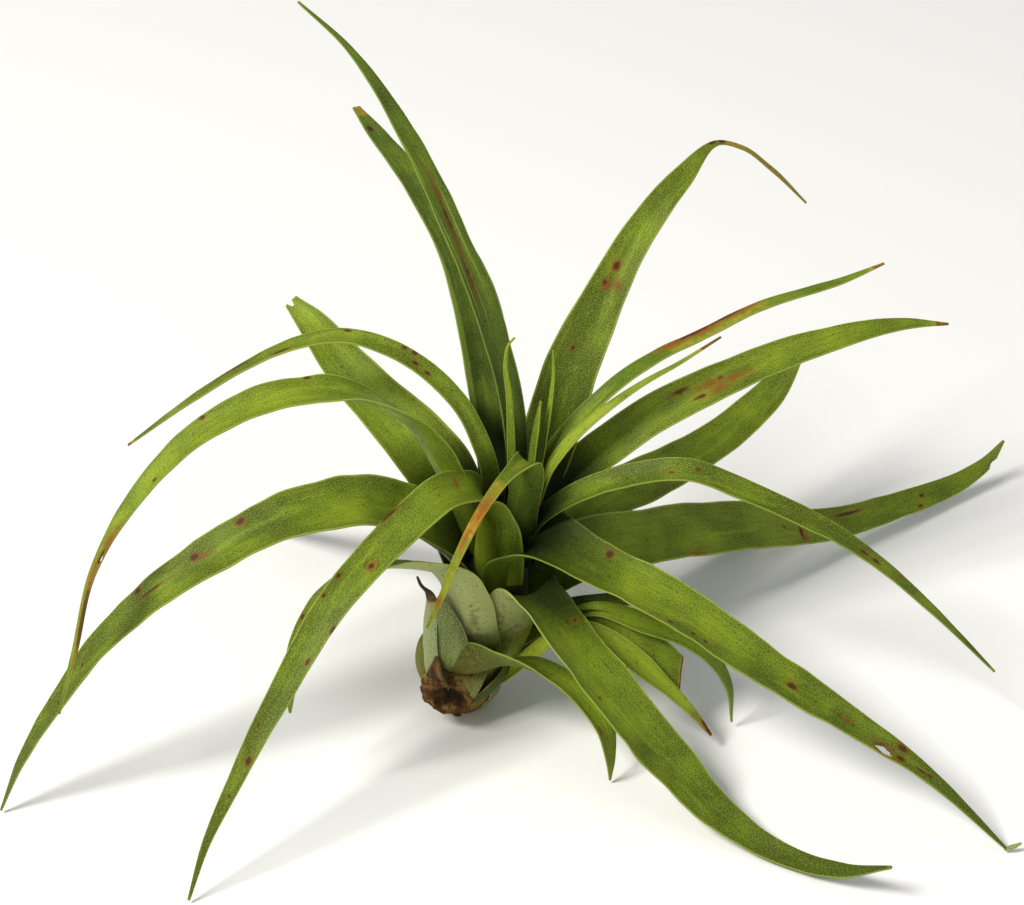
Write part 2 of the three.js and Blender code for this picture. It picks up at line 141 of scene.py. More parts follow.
tissueGrain = {
    "patch": 11,  # mm, from one broad lighter patch of a blade to the next
    "veinLength": 7,  # mm along the blade before a vein's tone changes
    "veinGap": 0.6,  # mm; real veins are 0.2 mm apart, too fine to show
    "gleamLength": 20,  # mm, the light streaks between groups of veins
    "gleamGap": 3,  # mm
    "scaleGap": 0.28,  # mm; real scales are 0.15 mm across, too fine to show
    "speckLength": 0.9,  # mm, dark specks where scales have died, in short dashes along the veins
    "speckGap": 0.4,  # mm
    "blotch": 1.3,  # mm, how coarse the ragged edge of a mark is
    "relief": 0.1,  # mm from the bottom to the top of the relief
    "ior": 1.4,  # of the waxy skin
    "roughnessSpread": (0.08, 0.14),  # how far it falls and rises about the tissue's own
    "gleamOpen": 0.2,  # the gloss that its scales leave, where a bare skin has 0.5
    "gleamShaded": 0.05,  # the same in deep shade, where little light falls
    "glow": 0.1,  # the share of the light that scatters inside the tissue
    "glowDepth": 0.8,  # mm
}


def leafTissue(name, tones):
    # a green between deep and light that follows broad patches and the tone given to the blade, partly its
    # own colour and partly painted light and shade, under coats whose edges the blotches make ragged
    material, tree, shader = blankMaterial(name)
    grain = tissueGrain
    place = addNode(tree, "ShaderNodeTexCoord", {}).outputs["Object"]
    blade = addNode(tree, "ShaderNodeUVMap", {"uv_map": "blade"}).outputs["UV"]
    # what each noise reads, its stretch along and across the blade, and its detail
    noises = {
        "patches": (place, (1 / (grain["patch"] * mm),) * 3, 5),
        "veins": (blade, (1 / grain["veinLength"], 1 / grain["veinGap"], 1), 2),
        "gleams": (blade, (1 / grain["gleamLength"], 1 / grain["gleamGap"], 1), 2),
        "scales": (blade, (1 / grain["scaleGap"], 1 / grain["scaleGap"], 1), 1),
        "specks": (blade, (1 / grain["speckLength"], 1 / grain["speckGap"], 1), 1),
        "blotches": (blade, (1 / grain["blotch"], 1 / grain["blotch"], 1), 3),
    }
    field = {}
    for key, (source, scale, detail) in noises.items():
        stretched = addNode(tree, "ShaderNodeMapping", {"Scale": scale}, {"Vector": source}).outputs[0]
        field[key] = addNode(
            tree, "ShaderNodeTexNoise", {"Scale": 1, "Detail": detail}, {"Vector": stretched}
        ).outputs[0]
    for key in ("tone", "edge", "pale", "dry", "stain", "rust", "bruise", "ring", "line", "shade"):
        field[key] = addNode(tree, "ShaderNodeAttribute", {"attribute_name": key}).outputs["Fac"]
    ragged = addNode(
        tree, "ShaderNodeMath", {"operation": "SUBTRACT", 1: 0.5}, {0: field["blotches"]}
    ).outputs[0]
    toned = addNode(tree, "ShaderNodeMath", {"operation": "ADD"}, {0: field["patches"], 1: field["tone"]})
    lit = addNode(
        tree, "ShaderNodeMapRange", {"From Min": 0.3, "From Max": 0.75}, {"Value": toned.outputs[0]}
    )
    paint = addNode(
        tree, "ShaderNodeMix", {"data_type": "RGBA", 6: linear(tones["deep"]), 7: linear(tones["light"])},
        {0: lit.outputs[0]},
    ).outputs[2]
    coats = [
        ("gleam", "gleams", 0.3, 0.48, 0.75, 0.35),
        ("vein", "veins", 0, 0.5, 0.7, 0.3),
        # painted shade: darker towards both margins, as the blade's channel turns them from the light
        ("deep", "edge", 0, 0.35, 0.95, 0.4),
        # darker still where the tone falls below 0: partly a leaf's own darker green, partly painted shade
        # where its base or end lies out of the light
        ("vein", "tone", 0, -0.1, -0.5, 0.7),
        ("pale", "pale", 1.2, 0.1, 0.9, tones["paleness"]),
        ("stain", "stain", 2.2, 0.1, 1, 0.65),
        ("margin", "edge", 0, 0.93, 0.985, 0.5),
        ("vein", "scales", 0, 0.5, 0.34, tones["speckle"]),
        ("scale", "scales", 0, 0.5, 0.66, tones["speckle"]),
        ("bruise", "specks", 0.4, 0.64, 0.76, 0.7),
        # painted shade where the leaves meet, placed by the heart and the hollow
        ("shadow", "shade", 0.15, 0.25, 0.8, 0.92),
        ("straw", "dry", 0.7, 0.15, 0.6, 0.9),
        ("brown", "dry", 1.5, 0.55, 1.1, 0.9),
        ("margin", "line", 0.5, 0, 0.5, 0.5),
        ("rust", "rust", 1.3, -0.25, 0.9, 0.75),
        ("rust", "bruise", 0.7, -0.6, 0.25, 0.45),
        ("bruise", "bruise", 0.9, -0.05, 0.5, 0.8),
        ("bruise", "ring", 0.3, 0.4, 0.9, 0.6),
    ]
    paint = layCoats(tree, paint, coats, tones, field, ragged, "SMOOTHSTEP")
    relief = addNode(tree, "ShaderNodeMath", {"operation": "ADD"}, {0: field["veins"], 1: field["scales"]})
    bump = addNode(
        tree, "ShaderNodeBump", {"Strength": 0.7, "Distance": grain["relief"] * mm},
        {"Height": relief.outputs[0]},
    )
    fall, rise = grain["roughnessSpread"]
    smoothest, roughest = tones["roughness"] - fall, tones["roughness"] + rise
    gloss = addNode(
        tree, "ShaderNodeMapRange",
        {"From Min": 0.3, "From Max": 0.7, "To Min": smoothest, "To Max": roughest},
        {"Value": field["scales"]},
    )
    sheen = addNode(
        tree, "ShaderNodeMapRange",
        {"From Min": 0.2, "From Max": 0.6, "To Min": grain["gleamOpen"], "To Max": grain["gleamShaded"]},
        {"Value": field["shade"]},
    )
    tree.links.new(paint, shader.inputs["Base Color"])
    tree.links.new(bump.outputs[0], shader.inputs["Normal"])
    tree.links.new(gloss.outputs[0], shader.inputs["Roughness"])
    tree.links.new(sheen.outputs[0], shader.inputs["Specular IOR Level"])
    shader.inputs["IOR"].default_value = grain["ior"]
    shader.inputs["Subsurface Weight"].default_value = grain["glow"]
    shader.inputs["Subsurface Radius"].default_value = (0.6, 1, 0.2)  # green goes furthest
    shader.inputs["Subsurface Scale"].default_value = grain["glowDepth"] * mm
    return material


# Dead sheath bases and the torn stem: plant fibre that dried and weathered, from olive through straw to
# dark brown. It gives the eye a dull streaked surface with coarse fibres that run up the bulb.
bark = {
    "green": "#6c7440", "olive": "#7f7c3a", "straw": "#8a7436", "brown": "#5c3b1c", "dark": "#1e130c",
    "ember": "#8a4c1e",
    "neckShade": "#1c2410",  # the shaded top of the bulb between the leaf bases
    "fibreGap": 0.35,  # mm between fibres
    "fibreLength": 6,  # mm
    "lump": 3,  # mm, from one stain to the next
    "relief": 0.25,  # mm
    "roughness": 0.8,
    "ior": 1.45,
    "gleam": 0.2,  # the gloss that its fibres leave, where a bare skin has 0.5
}


def barkTissue():
    # a ramp of tones that follows the decay, made uneven by stains, under coats whose edges aren't ragged
    material, tree, shader = blankMaterial("barkTissue")
    place = addNode(tree, "ShaderNodeTexCoord", {}).outputs["Object"]
    gap, length, lump = bark["fibreGap"] * mm, bark["fibreLength"] * mm, bark["lump"] * mm
    field = {}
    for key, scale in (("fibres", (1 / gap, 1 / gap, 1 / length)), ("stains", (1 / lump,) * 3)):
        stretched = addNode(tree, "ShaderNodeMapping", {"Scale": scale}, {"Vector": place}).outputs[0]
        field[key] = addNode(
            tree, "ShaderNodeTexNoise", {"Scale": 1, "Detail": 4}, {"Vector": stretched}
        ).outputs[0]
    for key in ("decay", "rotAndShade", "neckShade"):
        field[key] = addNode(tree, "ShaderNodeAttribute", {"attribute_name": key}).outputs["Fac"]
    uneven = addNode(
        tree, "ShaderNodeMath", {"operation": "MULTIPLY_ADD", 1: 0.5}, {0: field["stains"], 2: field["decay"]}
    ).outputs[0]
    ramp = addNode(tree, "ShaderNodeValToRGB", {}, {"Fac": uneven})
    stops = ramp.color_ramp.elements
    stops[0].position, stops[0].color = 0.2, linear(bark["green"])
    stops[1].position, stops[1].color = 1, linear(bark["dark"])
    for position, tone in ((0.4, "olive"), (0.6, "straw"), (0.75, "brown")):
        stops.new(position).color = linear(bark[tone])
    coats = [
        ("ember", "fibres", 0, 0.55, 0.75, 0.35),
        ("dark", "fibres", 0, 0.42, 0.3, 0.5),
        # the dark coat on the torn end: the rotted pith, with painted shade in its hollow and in the low
        # places between the lumps
        ("dark", "rotAndShade", 0, 0.1, 0.9, 0.92),
        # painted shade on the bulb's neck, among the leaf bases
        ("neckShade", "neckShade", 0, 0, 1, 0.9),
    ]
    paint = layCoats(tree, ramp.outputs[0], coats, bark, field, uneven, "LINEAR")
    bump = addNode(
        tree, "ShaderNodeBump", {"Strength": 0.8, "Distance": bark["relief"] * mm},
        {"Height": field["fibres"]},
    )
    tree.links.new(paint, shader.inputs["Base Color"])
    tree.links.new(bump.outputs[0], shader.inputs["Normal"])
    shader.inputs["Roughness"].default_value = bark["roughness"]
    shader.inputs["IOR"].default_value = bark["ior"]
    shader.inputs["Specular IOR Level"].default_value = bark["gleam"]
    return material


materials = {look: leafTissue(look + "Tissue", tones) for look, tones in tissues.items()}
materials["bark"] = barkTissue()
print("tissues made:", len(materials))

# The leaves, in the imported model's order. What each one states:
# look: its tissue
# tone: lighter above 0 and darker below, partly the leaf's own colour and partly painted light and shade, and
# roll:
#     how far it turns about its length, in degrees; both may be several values, at even steps from base to
#     tip
# shade and below: how much of the shade among the leaves falls on its upper and on its lower face
# cup: half of the arc that it bends across, in radians, at base and tip
# slant: how far askew a cut end is, as a share of its half width
# sheath: where the pale clasping base starts and ends on the lower face, in mm along
# course: points of its middle line with the half width there, from base to tip, as in the imported model
# dry: where it starts and ends, as shares of the length, and how dry
# marks and holes: share of the length, place across with the margins at -1 and 1, half the length and half
#     the width in mm
leaves = {
    "centre_folded": {
        "look": "aged", "tone": (-0.35, -0.2, 0, 0), "shade": 1.3, "cup": (0.9, 0.8),
        "course": [
            (14, 9, 35, 3), (14.5, 8, 45, 4), (15.3, 7, 54.5, 3.9), (16.4, 6, 61.5, 3.5),
            (16.2, 4.6, 65.3, 3.1), (12.3, 0.3, 64.7, 1.7), (7.6, -5.5, 61.6, 1.3), (1.7, -13, 53.6, 1),
            (-2.1, -16.2, 44.5, 0.7), (-5.2, -15.8, 36.2, 0.3),
        ],
        "dry": [(0.42, 1.1, 0.15), (0.5, 1.1, 0.3), (0.6, 0.72, 0.6)],
        "marks": {"rust": [(0.62, 0.1, 6, 2.2), (0.7, -0.2, 5, 1), (0.9, 0, 2, 1)]},
    },
    "outer_left": {
        "look": "aged", "tone": -0.45, "below": 0, "cup": (1, 0.9), "roll": (40, 40),
        "course": [
            (-0.2, -1.5, 5, 2.4), (-3.5, -0.8, 8.5, 3.6), (-5.7, 0, 13, 4), (-5.9, 0.6, 18, 3.4),
            (-4.6, 1.2, 22, 1.6),
        ],
        "marks": {"stain": [(0.5, 0, 18, 12)]},
    },
    "outer_dry": {
        "look": "sheath", "below": 0, "cup": (0.6, 0.5), "sheath": (-9, 60),
        "course": [
            (-1, -1, 8, 1.4), (-3.9, -4.2, 13, 2.1), (-4.8, -6, 22, 2.2), (-4.6, -6.8, 31, 1.9),
            (-4.3, -6.4, 36, 1.7), (-5, -6.6, 38.8, 1.3), (-6.5, -7, 40.8, 0.6), (-7.2, -7.2, 43, 0.3),
        ],
        "dry": [(0, 0.14, 0.7), (0.8, 1.1, 1.6)],
        "marks": {"bruise": [(0.95, 0, 6, 3)]},
    },
    "outer_front": {
        "look": "sheath", "tone": 0.02, "below": 0, "cup": (0.6, 0.6),
        "course": [
            (-0.6, -2.2, 14.5, 3), (-0.6, -5.4, 18.5, 4), (-0.2, -7.2, 25, 3.9), (-1.2, -8, 32, 2.8),
            (-2.4, -7.8, 37.5, 1),
        ],
        "marks": {"stain": [(0.05, 0, 9, 5), (0.6, 0.7, 9, 1.5)]},
    },
    "outer_right": {
        "look": "shaded", "tone": -0.8, "below": 0, "cup": (0.9, 0.8), "roll": (-40, -40),
        "course": [
            (1.5, -3, 6, 1.8), (4.6, -4.6, 8.6, 2.1), (8, -4.2, 11.4, 2.2), (10.6, -2.4, 14.2, 1.7),
            (12, -0.4, 17, 0.7),
        ],
        "marks": {"stain": [(0.5, 0, 12, 5)]},
    },
    "front_short": {
        "look": "fresh", "below": 0, "cup": (1.2, 0.4), "roll": (10, 30, 25, -10, -30),
        "sheath": (11, 80),
        "course": [
            (6, 1.5, 15, 5), (5, -1, 22, 6.2), (4, -4, 29.5, 6.3), (2.6, -7, 39.5, 5.6),
            (-1, -9.2, 47, 5), (-8, -13, 51.4, 3.9), (-17.5, -19, 54.2, 2.7), (-26, -24.5, 50.2, 2.8),
            (-30.4, -26.8, 42, 2.6), (-33, -28, 32, 1.6), (-33.5, -28, 23.5, 0.3),
        ],
        "marks": {"stain": [(0.05, 0, 10, 8), (0.2, 0.3, 9, 2)], "bruise": [(0.757, -0.75, 0.9, 0.6)]},
    },
    "front_right": {
        "look": "fresh", "tone": (0.35, 0.1, -0.15, -0.7), "below": 0, "cup": (1.2, 0.35),
        "roll": (-25, 22), "sheath": (11, 50),
        "course": [
            (9, 2, 16, 6), (10.5, 0, 24, 7.6), (12.6, -1.6, 33, 8), (15, -3.5, 38.8, 7.6),
            (19.2, -9, 38.6, 7), (25, -17, 34.8, 6.9), (35.4, -24.5, 23.9, 6.7), (45.5, -31.5, 13.7, 5.9),
            (54.5, -38, 6.3, 4.4), (65, -45.5, 2.4, 2.9), (79.5, -54.5, 4, 1.9), (88.5, -61, 11, 0.4),
        ],
        "dry": [(0.985, 1.1, 0.9)],
        "marks": {
            "stain": [(0.05, 0, 10, 12), (0.12, -0.6, 8, 3), (0.14, 0.6, 8, 3)],
            "bruise": [(0.288, 0.7, 0.7, 0.6), (0.419, -0.55, 0.6, 0.5)],
            "ring": [(0.449, -0.6, 0.9, 0.8)],
        },
    },
    "front_low": {
        "look": "fresh", "tone": (-1, -0.2, 0.2, 0.05), "below": 0, "cup": (1.1, 0.5),
        "roll": (-80, -50, -5, 12, 10),
        "course": [
            (-2.5, -2, 17, 3.6), (2, -5.2, 20, 5.6), (8, -7.6, 22.8, 5.8), (15, -10.8, 24, 4.2),
            (22.5, -15, 22.8, 3.1), (28.4, -19, 19.3, 2.9), (32.4, -22, 14, 2.5), (33.5, -23.5, 7, 1.5),
            (33.5, -23.5, 1, 0.3),
        ],
        "dry": [(-0.1, 0.24, 0.18), (0.96, 1.1, 0.7)],
        "marks": {"stain": [(0.1, 0, 20, 10), (0.4, -0.6, 12, 3)], "rust": [(0.767, -0.6, 1.6, 0.8)]},
    },
    "left_broad": {
        "look": "fresh", "tone": (0, -0.05, -0.15, -0.35), "cup": (1.2, 0.35), "roll": (-20, -12),
        "course": [
            (6, 5, 35, 6), (4, 3, 42, 7.2), (0.5, 0, 49.5, 8), (-9.5, -3.5, 58.5, 7.2),
            (-20.5, -7.5, 63, 6.7), (-30.5, -11, 63, 6), (-51, -18, 55.5, 4.8), (-73, -25.5, 38.5, 3.1),
            (-81.4, -28.5, 27, 2.4), (-89.3, -31, 14.2, 1.4), (-95, -33, 1, 0.3),
        ],
        "dry": [(0.985, 1.1, 0.8)],
        "marks": {
            "rust": [(0.439, -0.7, 1.3, 1.1), (0.505, -0.2, 3, 0.7)],
            "bruise": [
                (0.439, -0.7, 1.1, 0.9), (0.516, -0.4, 1.2, 0.9), (0.607, -0.8, 0.9, 0.7),
                (0.59, -0.28, 4, 0.35), (0.734, 0, 0.6, 0.5), (0.8, 0.3, 0.6, 0.4),
            ],
            "ring": [(0.441, 0.05, 1.1, 0.9)],
        },
    },
    "right_long": {
        "look": "fresh", "tone": (0, 0, -0.12, -0.3), "below": 0.3, "cup": (1.3, 0.4), "roll": (5, 14),
        "course": [
            (9, 6, 33, 7), (9.8, 4.5, 43.8, 8.6), (16, 1.8, 48.4, 8), (28.5, -5.5, 46.7, 6.4),
            (49, -15, 40, 5.9), (64, -21.5, 31.8, 5.1), (81, -29.5, 24, 3.7), (98, -37, 14.9, 1.9),
            (115, -45, 1, 0.3),
        ],
        "dry": [(0.985, 1.1, 0.35)], "holes": [(0.762, -0.5, 2.6, 1.2)],
        "marks": {
            "bruise": [
                (0.599, -0.05, 1.4, 1), (0.785, 0.6, 1.6, 0.9), (0.79, -0.4, 1.2, 0.8),
                (0.396, -0.75, 0.8, 0.5), (0.434, -0.65, 0.7, 0.5), (0.456, -0.6, 0.7, 0.5),
                (0.263, 0.7, 1, 1.2), (0.825, -0.2, 1.6, 0.35), (0.84, 0, 1, 0.35),
            ],
            "ring": [(0.693, -0.05, 2.4, 1.2)],
            "rust": [(0.693, -0.05, 1.6, 0.9), (0.762, -0.5, 3.6, 2)],
        },
    },
    "front_left": {
        "look": "fresh", "tone": (0.15, -0.06, -0.12, -0.3), "below": 0, "cup": (1.3, 0.4),
        "roll": (-15, -30),
        "course": [
            (10.8, 6.8, 35, 7.6), (10.8, 6.6, 44, 8.4), (10.2, 4.8, 53, 6.8), (7.5, 2, 59.5, 5.1),
            (3, -1.5, 62.5, 4.6), (-2, -6.5, 64, 4.4), (-10, -14.5, 61, 4), (-22.9, -28, 53.1, 3.4),
            (-34.7, -40.5, 37.5, 2.5), (-45, -51.5, 20.5, 1.4), (-48.9, -55.5, 13, 0.9),
            (-53, -60, 1, 0.3),
        ],
        "dry": [(0.98, 1.1, 0.8)],
        "marks": {
            "rust": [(0.436, 0.25, 1.7, 1.5), (0.234, -0.4, 0.7, 2.5)],
            "ring": [(0.436, 0.25, 2.1, 1.9), (0.632, 0.15, 1, 0.8), (0.669, -0.35, 1, 0.8)],
            "bruise": [
                (0.436, 0.25, 0.8, 0.7), (0.479, -0.8, 0.7, 0.5), (0.514, -0.8, 0.7, 0.5),
                (0.549, 0.95, 1.1, 0.5), (0.607, 0.65, 0.9, 0.5), (0.772, 0.4, 1.3, 0.8),
                (0.36, -0.97, 3, 0.4), (0.72, -0.4, 0.6, 0.4), (0.83, 0.2, 0.6, 0.4),
            ],
        },
    },
    "right_arch": {
        "look": "fresh", "tone": (-0.1, -0.2, -0.1), "cup": (0.9, 0.5), "roll": (30, 15),
        "course": [
            (13, 7.5, 33, 1.8), (18.5, 6, 49, 2.3), (24.5, 5, 55, 2.5), (35, 3.5, 61, 2.8),
            (49.5, 1.5, 64.3, 2.7), (62, 0, 59.7, 2.6), (72.5, -1.5, 55.1, 2.5), (86.1, -3.5, 47.1, 1.9),
            (101.2, -5.5, 33.5, 1.2), (116, -7.5, 17.7, 0.3),
        ],
        "dry": [(0.975, 1.1, 0.8)],
        "marks": {
            "bruise": [
                (0.358, -0.25, 1, 0.4), (0.401, 0.25, 1, 0.4), (0.692, -0.15, 1.2, 0.6),
                (0.717, -0.15, 1.4, 0.6),
            ],
            "rust": [(0.769, 0.55, 0.9, 0.7)],
        },
    },
    "left_high": {
        "look": "fresh", "tone": (-0.05, 0.15, -0.05), "cup": (0.8, 0.4), "roll": (50, 15, -15, -15, -15),
        "course": [
            (6, 8, 38, 2.5), (1, 6, 56, 3.6), (-1.5, 5, 64, 4.4), (-5.5, 4, 72.5, 5),
            (-11.5, 3, 79.5, 5.2), (-20.5, 2, 84, 5), (-30.5, 1, 84.5, 4.3), (-49.5, -5, 79.5, 3.1),
            (-64, -16, 69, 1.9), (-71.5, -28, 59.5, 0.9), (-75.2, -37, 46, 0.8), (-78.5, -42, 35, 0.3),
        ],
        "dry": [(0.79, 0.94, 0.3), (0.985, 1.1, 0.6)], "holes": [(0.785, 0.5, 2, 0.45)],
        "marks": {
            "bruise": [
                (0.419, -0.9, 0.8, 0.5), (0.87, 0.7, 9, 0.6), (0.56, -0.8, 0.9, 0.5),
                (0.66, 0.5, 0.8, 0.4),
            ],
            "ring": [(0.546, 0.3, 1.1, 0.8)],
            "rust": [(0.765, 0.5, 6, 1.3), (0.8, 0.2, 5, 0.9)],
            "stain": [(0.86, 0.5, 13, 1.2)],
        },
    },
    "left_slender": {
        "look": "fresh", "tone": (-0.05, -0.05, -0.15), "shade": 1.1, "cup": (0.8, 0.5),
        "roll": (-60, -35, -18, -22, -25),
        "course": [
            (8.6, 10.5, 40, 2), (8.4, 9.5, 55, 2), (6.3, 9, 65.3, 2.1), (1.9, 11, 74.3, 2),
            (-11, 17, 83.4, 2.1), (-21, 20, 85.4, 2), (-32, 23, 82.1, 1.9), (-43.5, 26, 74.5, 1.4),
            (-54.5, 29, 65.1, 1.2), (-72, 34, 48, 0.3),
        ],
        "dry": [(0.97, 1.1, 1)],
        "marks": {
            "bruise": [
                (0.404, -0.75, 0.8, 0.6), (0.386, -0.8, 0.8, 0.6), (0.376, 0.1, 0.9, 0.6),
                (0.351, 0.25, 0.9, 0.6), (0.5, -0.7, 1.2, 0.4), (0.62, 0.6, 3, 0.4),
                (0.72, -0.7, 4, 0.35),
            ],
        },
    },
    "centre_a": {
        "look": "fresh", "tone": (-0.1, 0.15), "shade": 0.5, "cup": (0.7, 0.5),
        "course": [
            (13, 11.5, 45, 0.9), (12.5, 10.5, 59.9, 0.9), (11.9, 12, 75.9, 0.65), (11.2, 13.5, 83.2, 0.4),
            (11.9, 14.5, 86.9, 0.25), (13.1, 15.5, 87.9, 0.2),
        ],
    },
    "centre_b": {
        "look": "fresh", "tone": (-0.2, 0), "shade": 0.45, "cup": (0.7, 0.5),
        "course": [
            (16, 11.5, 45, 0.9), (16.6, 10.5, 59.9, 1.2), (17.7, 12, 68.4, 0.9), (18.5, 13, 73.8, 0.2),
        ],
    },
    "right_slender": {
        "look": "aged", "tone": (-0.4, -0.1, 0), "shade": 1.1, "cup": (0.9, 0.5), "roll": (10, 8),
        "course": [
            (15.5, 11.5, 44, 1.6), (20.2, 13.5, 60.1, 1.7), (28, 17, 68.5, 1.9), (35.6, 21, 74, 1.95),
            (44, 26.5, 76.7, 1.7), (50.5, 30.5, 77.7, 1.6), (66, 39, 80.9, 1.4), (86, 50, 81.2, 0.9),
            (94, 54, 82.5, 0.3),
        ],
        "dry": [(0.46, 0.74, 0.32), (0.95, 1.1, 0.9)],
        "marks": {
            "rust": [(0.5, 0.55, 6, 1.3), (0.57, 0.6, 7, 1.5), (0.65, 0.8, 8, 1.2)],
            "bruise": [(0.55, 0.8, 5, 0.6), (0.62, 0.9, 5, 0.5)],
        },
    },
    "right_hooked": {
        "look": "fresh", "tone": 0.15, "shade": 0.3, "cup": (0.7, 0.4), "roll": (20, 20),
        "course": [
            (12, 2, 17, 1.5), (31.5, -1, 29.5, 1.9), (42, -3, 27, 2.7), (48.8, -4, 25, 2.6),
            (53.4, -4.5, 22, 2.5), (56.9, -5, 17.5, 2), (59.3, -5.5, 12.5, 1.4), (60.5, -5.5, 2, 0.3),
        ],
        "dry": [(0.96, 1.1, 0.7)],
    },
    "right_cut": {
        "look": "fresh", "cup": (0.7, 0.4), "roll": (50, 50), "slant": -0.65,
        "course": [
            (11, 1, 13, 2), (31.5, -3, 27.5, 2.6), (38, -4.5, 24.3, 3.3), (44, -5.5, 20.3, 3.5),
            (49, -6.5, 16, 3.2),
        ],
        "dry": [(0.98, 1.1, 1.7)],
    },
    "right_short": {
        "look": "aged", "tone": 0.5, "shade": 0.3, "cup": (0.7, 0.4), "roll": (50, 30),
        "course": [
            (9, -2, 11, 1.6), (29, -6, 28, 1.8), (41, -9, 20, 2.4), (46, -10.5, 15.6, 1.7),
            (50.8, -12, 10.8, 1.1), (55.5, -13, 4.5, 0.3),
        ],
        "dry": [(0.92, 1.1, 0.8)],
        "marks": {"bruise": [(0.97, 0.5, 3, 0.8)], "stain": [(0.9, 0, 4, 2)]},
    },
    "right_hidden": {
        "look": "shaded", "cup": (0.7, 0.4), "roll": (20, 20),
        "course": [
            (11, 4, 19, 1.6), (27, 3, 28, 2), (32.5, 2.5, 29, 2), (38, 2.5, 29.5, 1.5),
            (42.5, 2, 29.5, 0.4),
        ],
    },
    "right_high": {
        "look": "fresh", "shade": 1.5, "cup": (0.9, 0.4), "roll": (45, 25),
        "course": [
            (14, 10, 34, 3), (23, 13, 52, 4), (35.5, 18, 61.5, 4.3), (61.5, 28, 71.4, 3.8),
            (85.5, 37.5, 74.8, 2.6), (97, 41.5, 74.8, 1.5), (108, 46, 71.9, 0.3),
        ],
        "dry": [(0.95, 1.1, 0.9)],
        "marks": {
            "bruise": [(0.451, 0.4, 2.5, 0.6), (0.479, -0.35, 2, 0.5), (0.53, 0.2, 1.4, 0.3)],
            "rust": [(0.505, 0.1, 5, 1.2), (0.519, -0.35, 4, 1.3), (0.554, -0.15, 5, 1.2)],
        },
    },
    "right_level": {
        "look": "fresh", "tone": (0, 0, -0.05), "cup": (0.9, 0.35), "roll": (50, 30),
        "course": [
            (12, 8, 24, 4), (26, 13, 33.8, 6.4), (43, 25, 29.7, 6.2), (67, 41.5, 20.6, 5.8),
            (87, 56, 10.1, 4), (105, 69, 6.3, 3.2), (123.5, 82, 5.6, 2.1), (127.5, 84.5, 7.2, 1.6),
            (132, 87.5, 12, 0.3),
        ],
        "dry": [(0.985, 1.1, 0.8)], "holes": [(0.962, -1.1, 1.5, 0.9)],
        "marks": {
            "bruise": [
                (0.67, 0.45, 6, 0.5), (0.822, 0.15, 1, 0.5), (0.81, -0.65, 1, 0.5),
                (0.529, -0.05, 0.9, 0.5), (0.562, -0.3, 0.6, 2.4),
            ],
            "rust": [(0.565, -0.5, 1.6, 2.6), (0.335, -0.9, 4, 0.8)],
        },
    },
    "right_small": {
        "look": "aged", "tone": (0.1, 0.05), "shade": 0.6, "cup": (0.6, 0.4), "roll": (10, 10),
        "course": [
            (16, 9.5, 42, 1.2), (21.2, 11.5, 59.2, 1.4), (28.5, 14, 67.5, 1.3), (33.2, 16, 70.7, 1.1),
            (39.5, 19, 73.8, 0.8), (48.1, 24, 76.2, 0.5), (56.9, 29, 79.4, 0.25),
        ],
        "dry": [(0.9, 1.1, 1.2)],
    },
    "centre_c": {
        "look": "fresh", "tone": (-0.2, 0.1), "shade": 0.5, "cup": (0.7, 0.5),
        "course": [
            (16.8, 12.5, 46, 0.8), (18.7, 12.5, 60.3, 0.8), (20.6, 14.5, 73, 0.6),
            (21.1, 15.5, 78.6, 0.4), (21, 16.5, 84.2, 0.2),
        ],
    },
    "right_tall": {
        "look": "fresh", "tone": (-0.8, -0.15, 0, 0), "cup": (0.9, 0.4), "roll": (37, 37),
        "course": [
            (14, 12, 38, 4), (20.8, 18.5, 62.3, 6), (26.4, 24, 78.8, 5.5), (31.2, 28, 88.3, 4.6),
            (36, 32.5, 96.8, 3.7), (48.2, 43.5, 109.8, 2.4), (56.5, 52, 113.6, 0.6),
            (61.5, 54.5, 111.1, 0.6), (68.5, 58, 104, 0.8), (77, 62, 93.2, 0.3),
        ],
        "dry": [(0.755, 1.1, 0.6)],
        "marks": {
            "rust": [(0.491, 0.15, 1.8, 1.4), (0.456, 0.1, 2, 1.3), (0.464, -0.35, 1.6, 1.2)],
            "bruise": [
                (0.491, 0.15, 1.2, 0.9), (0.46, 0.3, 0.9, 0.7), (0.341, 0.25, 0.8, 0.6),
                (0.749, 0.65, 1, 0.6), (0.769, 0.25, 1.1, 0.6),
            ],
        },
    },
    "back_tall": {
        "look": "shaded", "tone": (-0.6, 0, 0.1), "shade": 1.5, "cup": (0.9, 0.4),
        "roll": (-40, -30, 0, 0, 0),
        "course": [
            (13, 13, 42, 2), (13.3, 13.5, 66.1, 2.4), (12.2, 14.5, 74.3, 2.5), (9.9, 16.5, 84.2, 2.7),
            (6.8, 18.5, 95.2, 3), (2.6, 20, 106, 2.9), (-7, 31, 123.3, 2.4), (-20.5, 46.5, 138, 0.9),
            (-32, 60, 142.5, 0.3),
        ],
        "dry": [(0.98, 1.1, 0.8)],
        "marks": {
            "rust": [(0.602, -0.05, 7, 0.8), (0.53, 0.15, 9, 1), (0.45, 0.35, 9, 0.9)],
            "bruise": [(0.56, 0.05, 6, 0.35), (0.47, 0.3, 6, 0.35)],
            "line": [
                (0.65, 0.85, 9, 0.3), (0.5, 0.75, 22, 0.3), (0.53, -0.4, 20, 0.28), (0.45, 0.2, 16, 0.25),
            ],
        },
    },
    "back_blunt": {
        "look": "shaded", "tone": -0.05, "shade": 2, "cup": (0.9, 0.5), "roll": (-25, -15, 0, 0),
        "course": [
            (9, 15, 40, 2.4), (7.8, 16, 61.8, 3.1), (5.2, 21, 81.3, 3.2), (-0.3, 30.5, 100, 2.8),
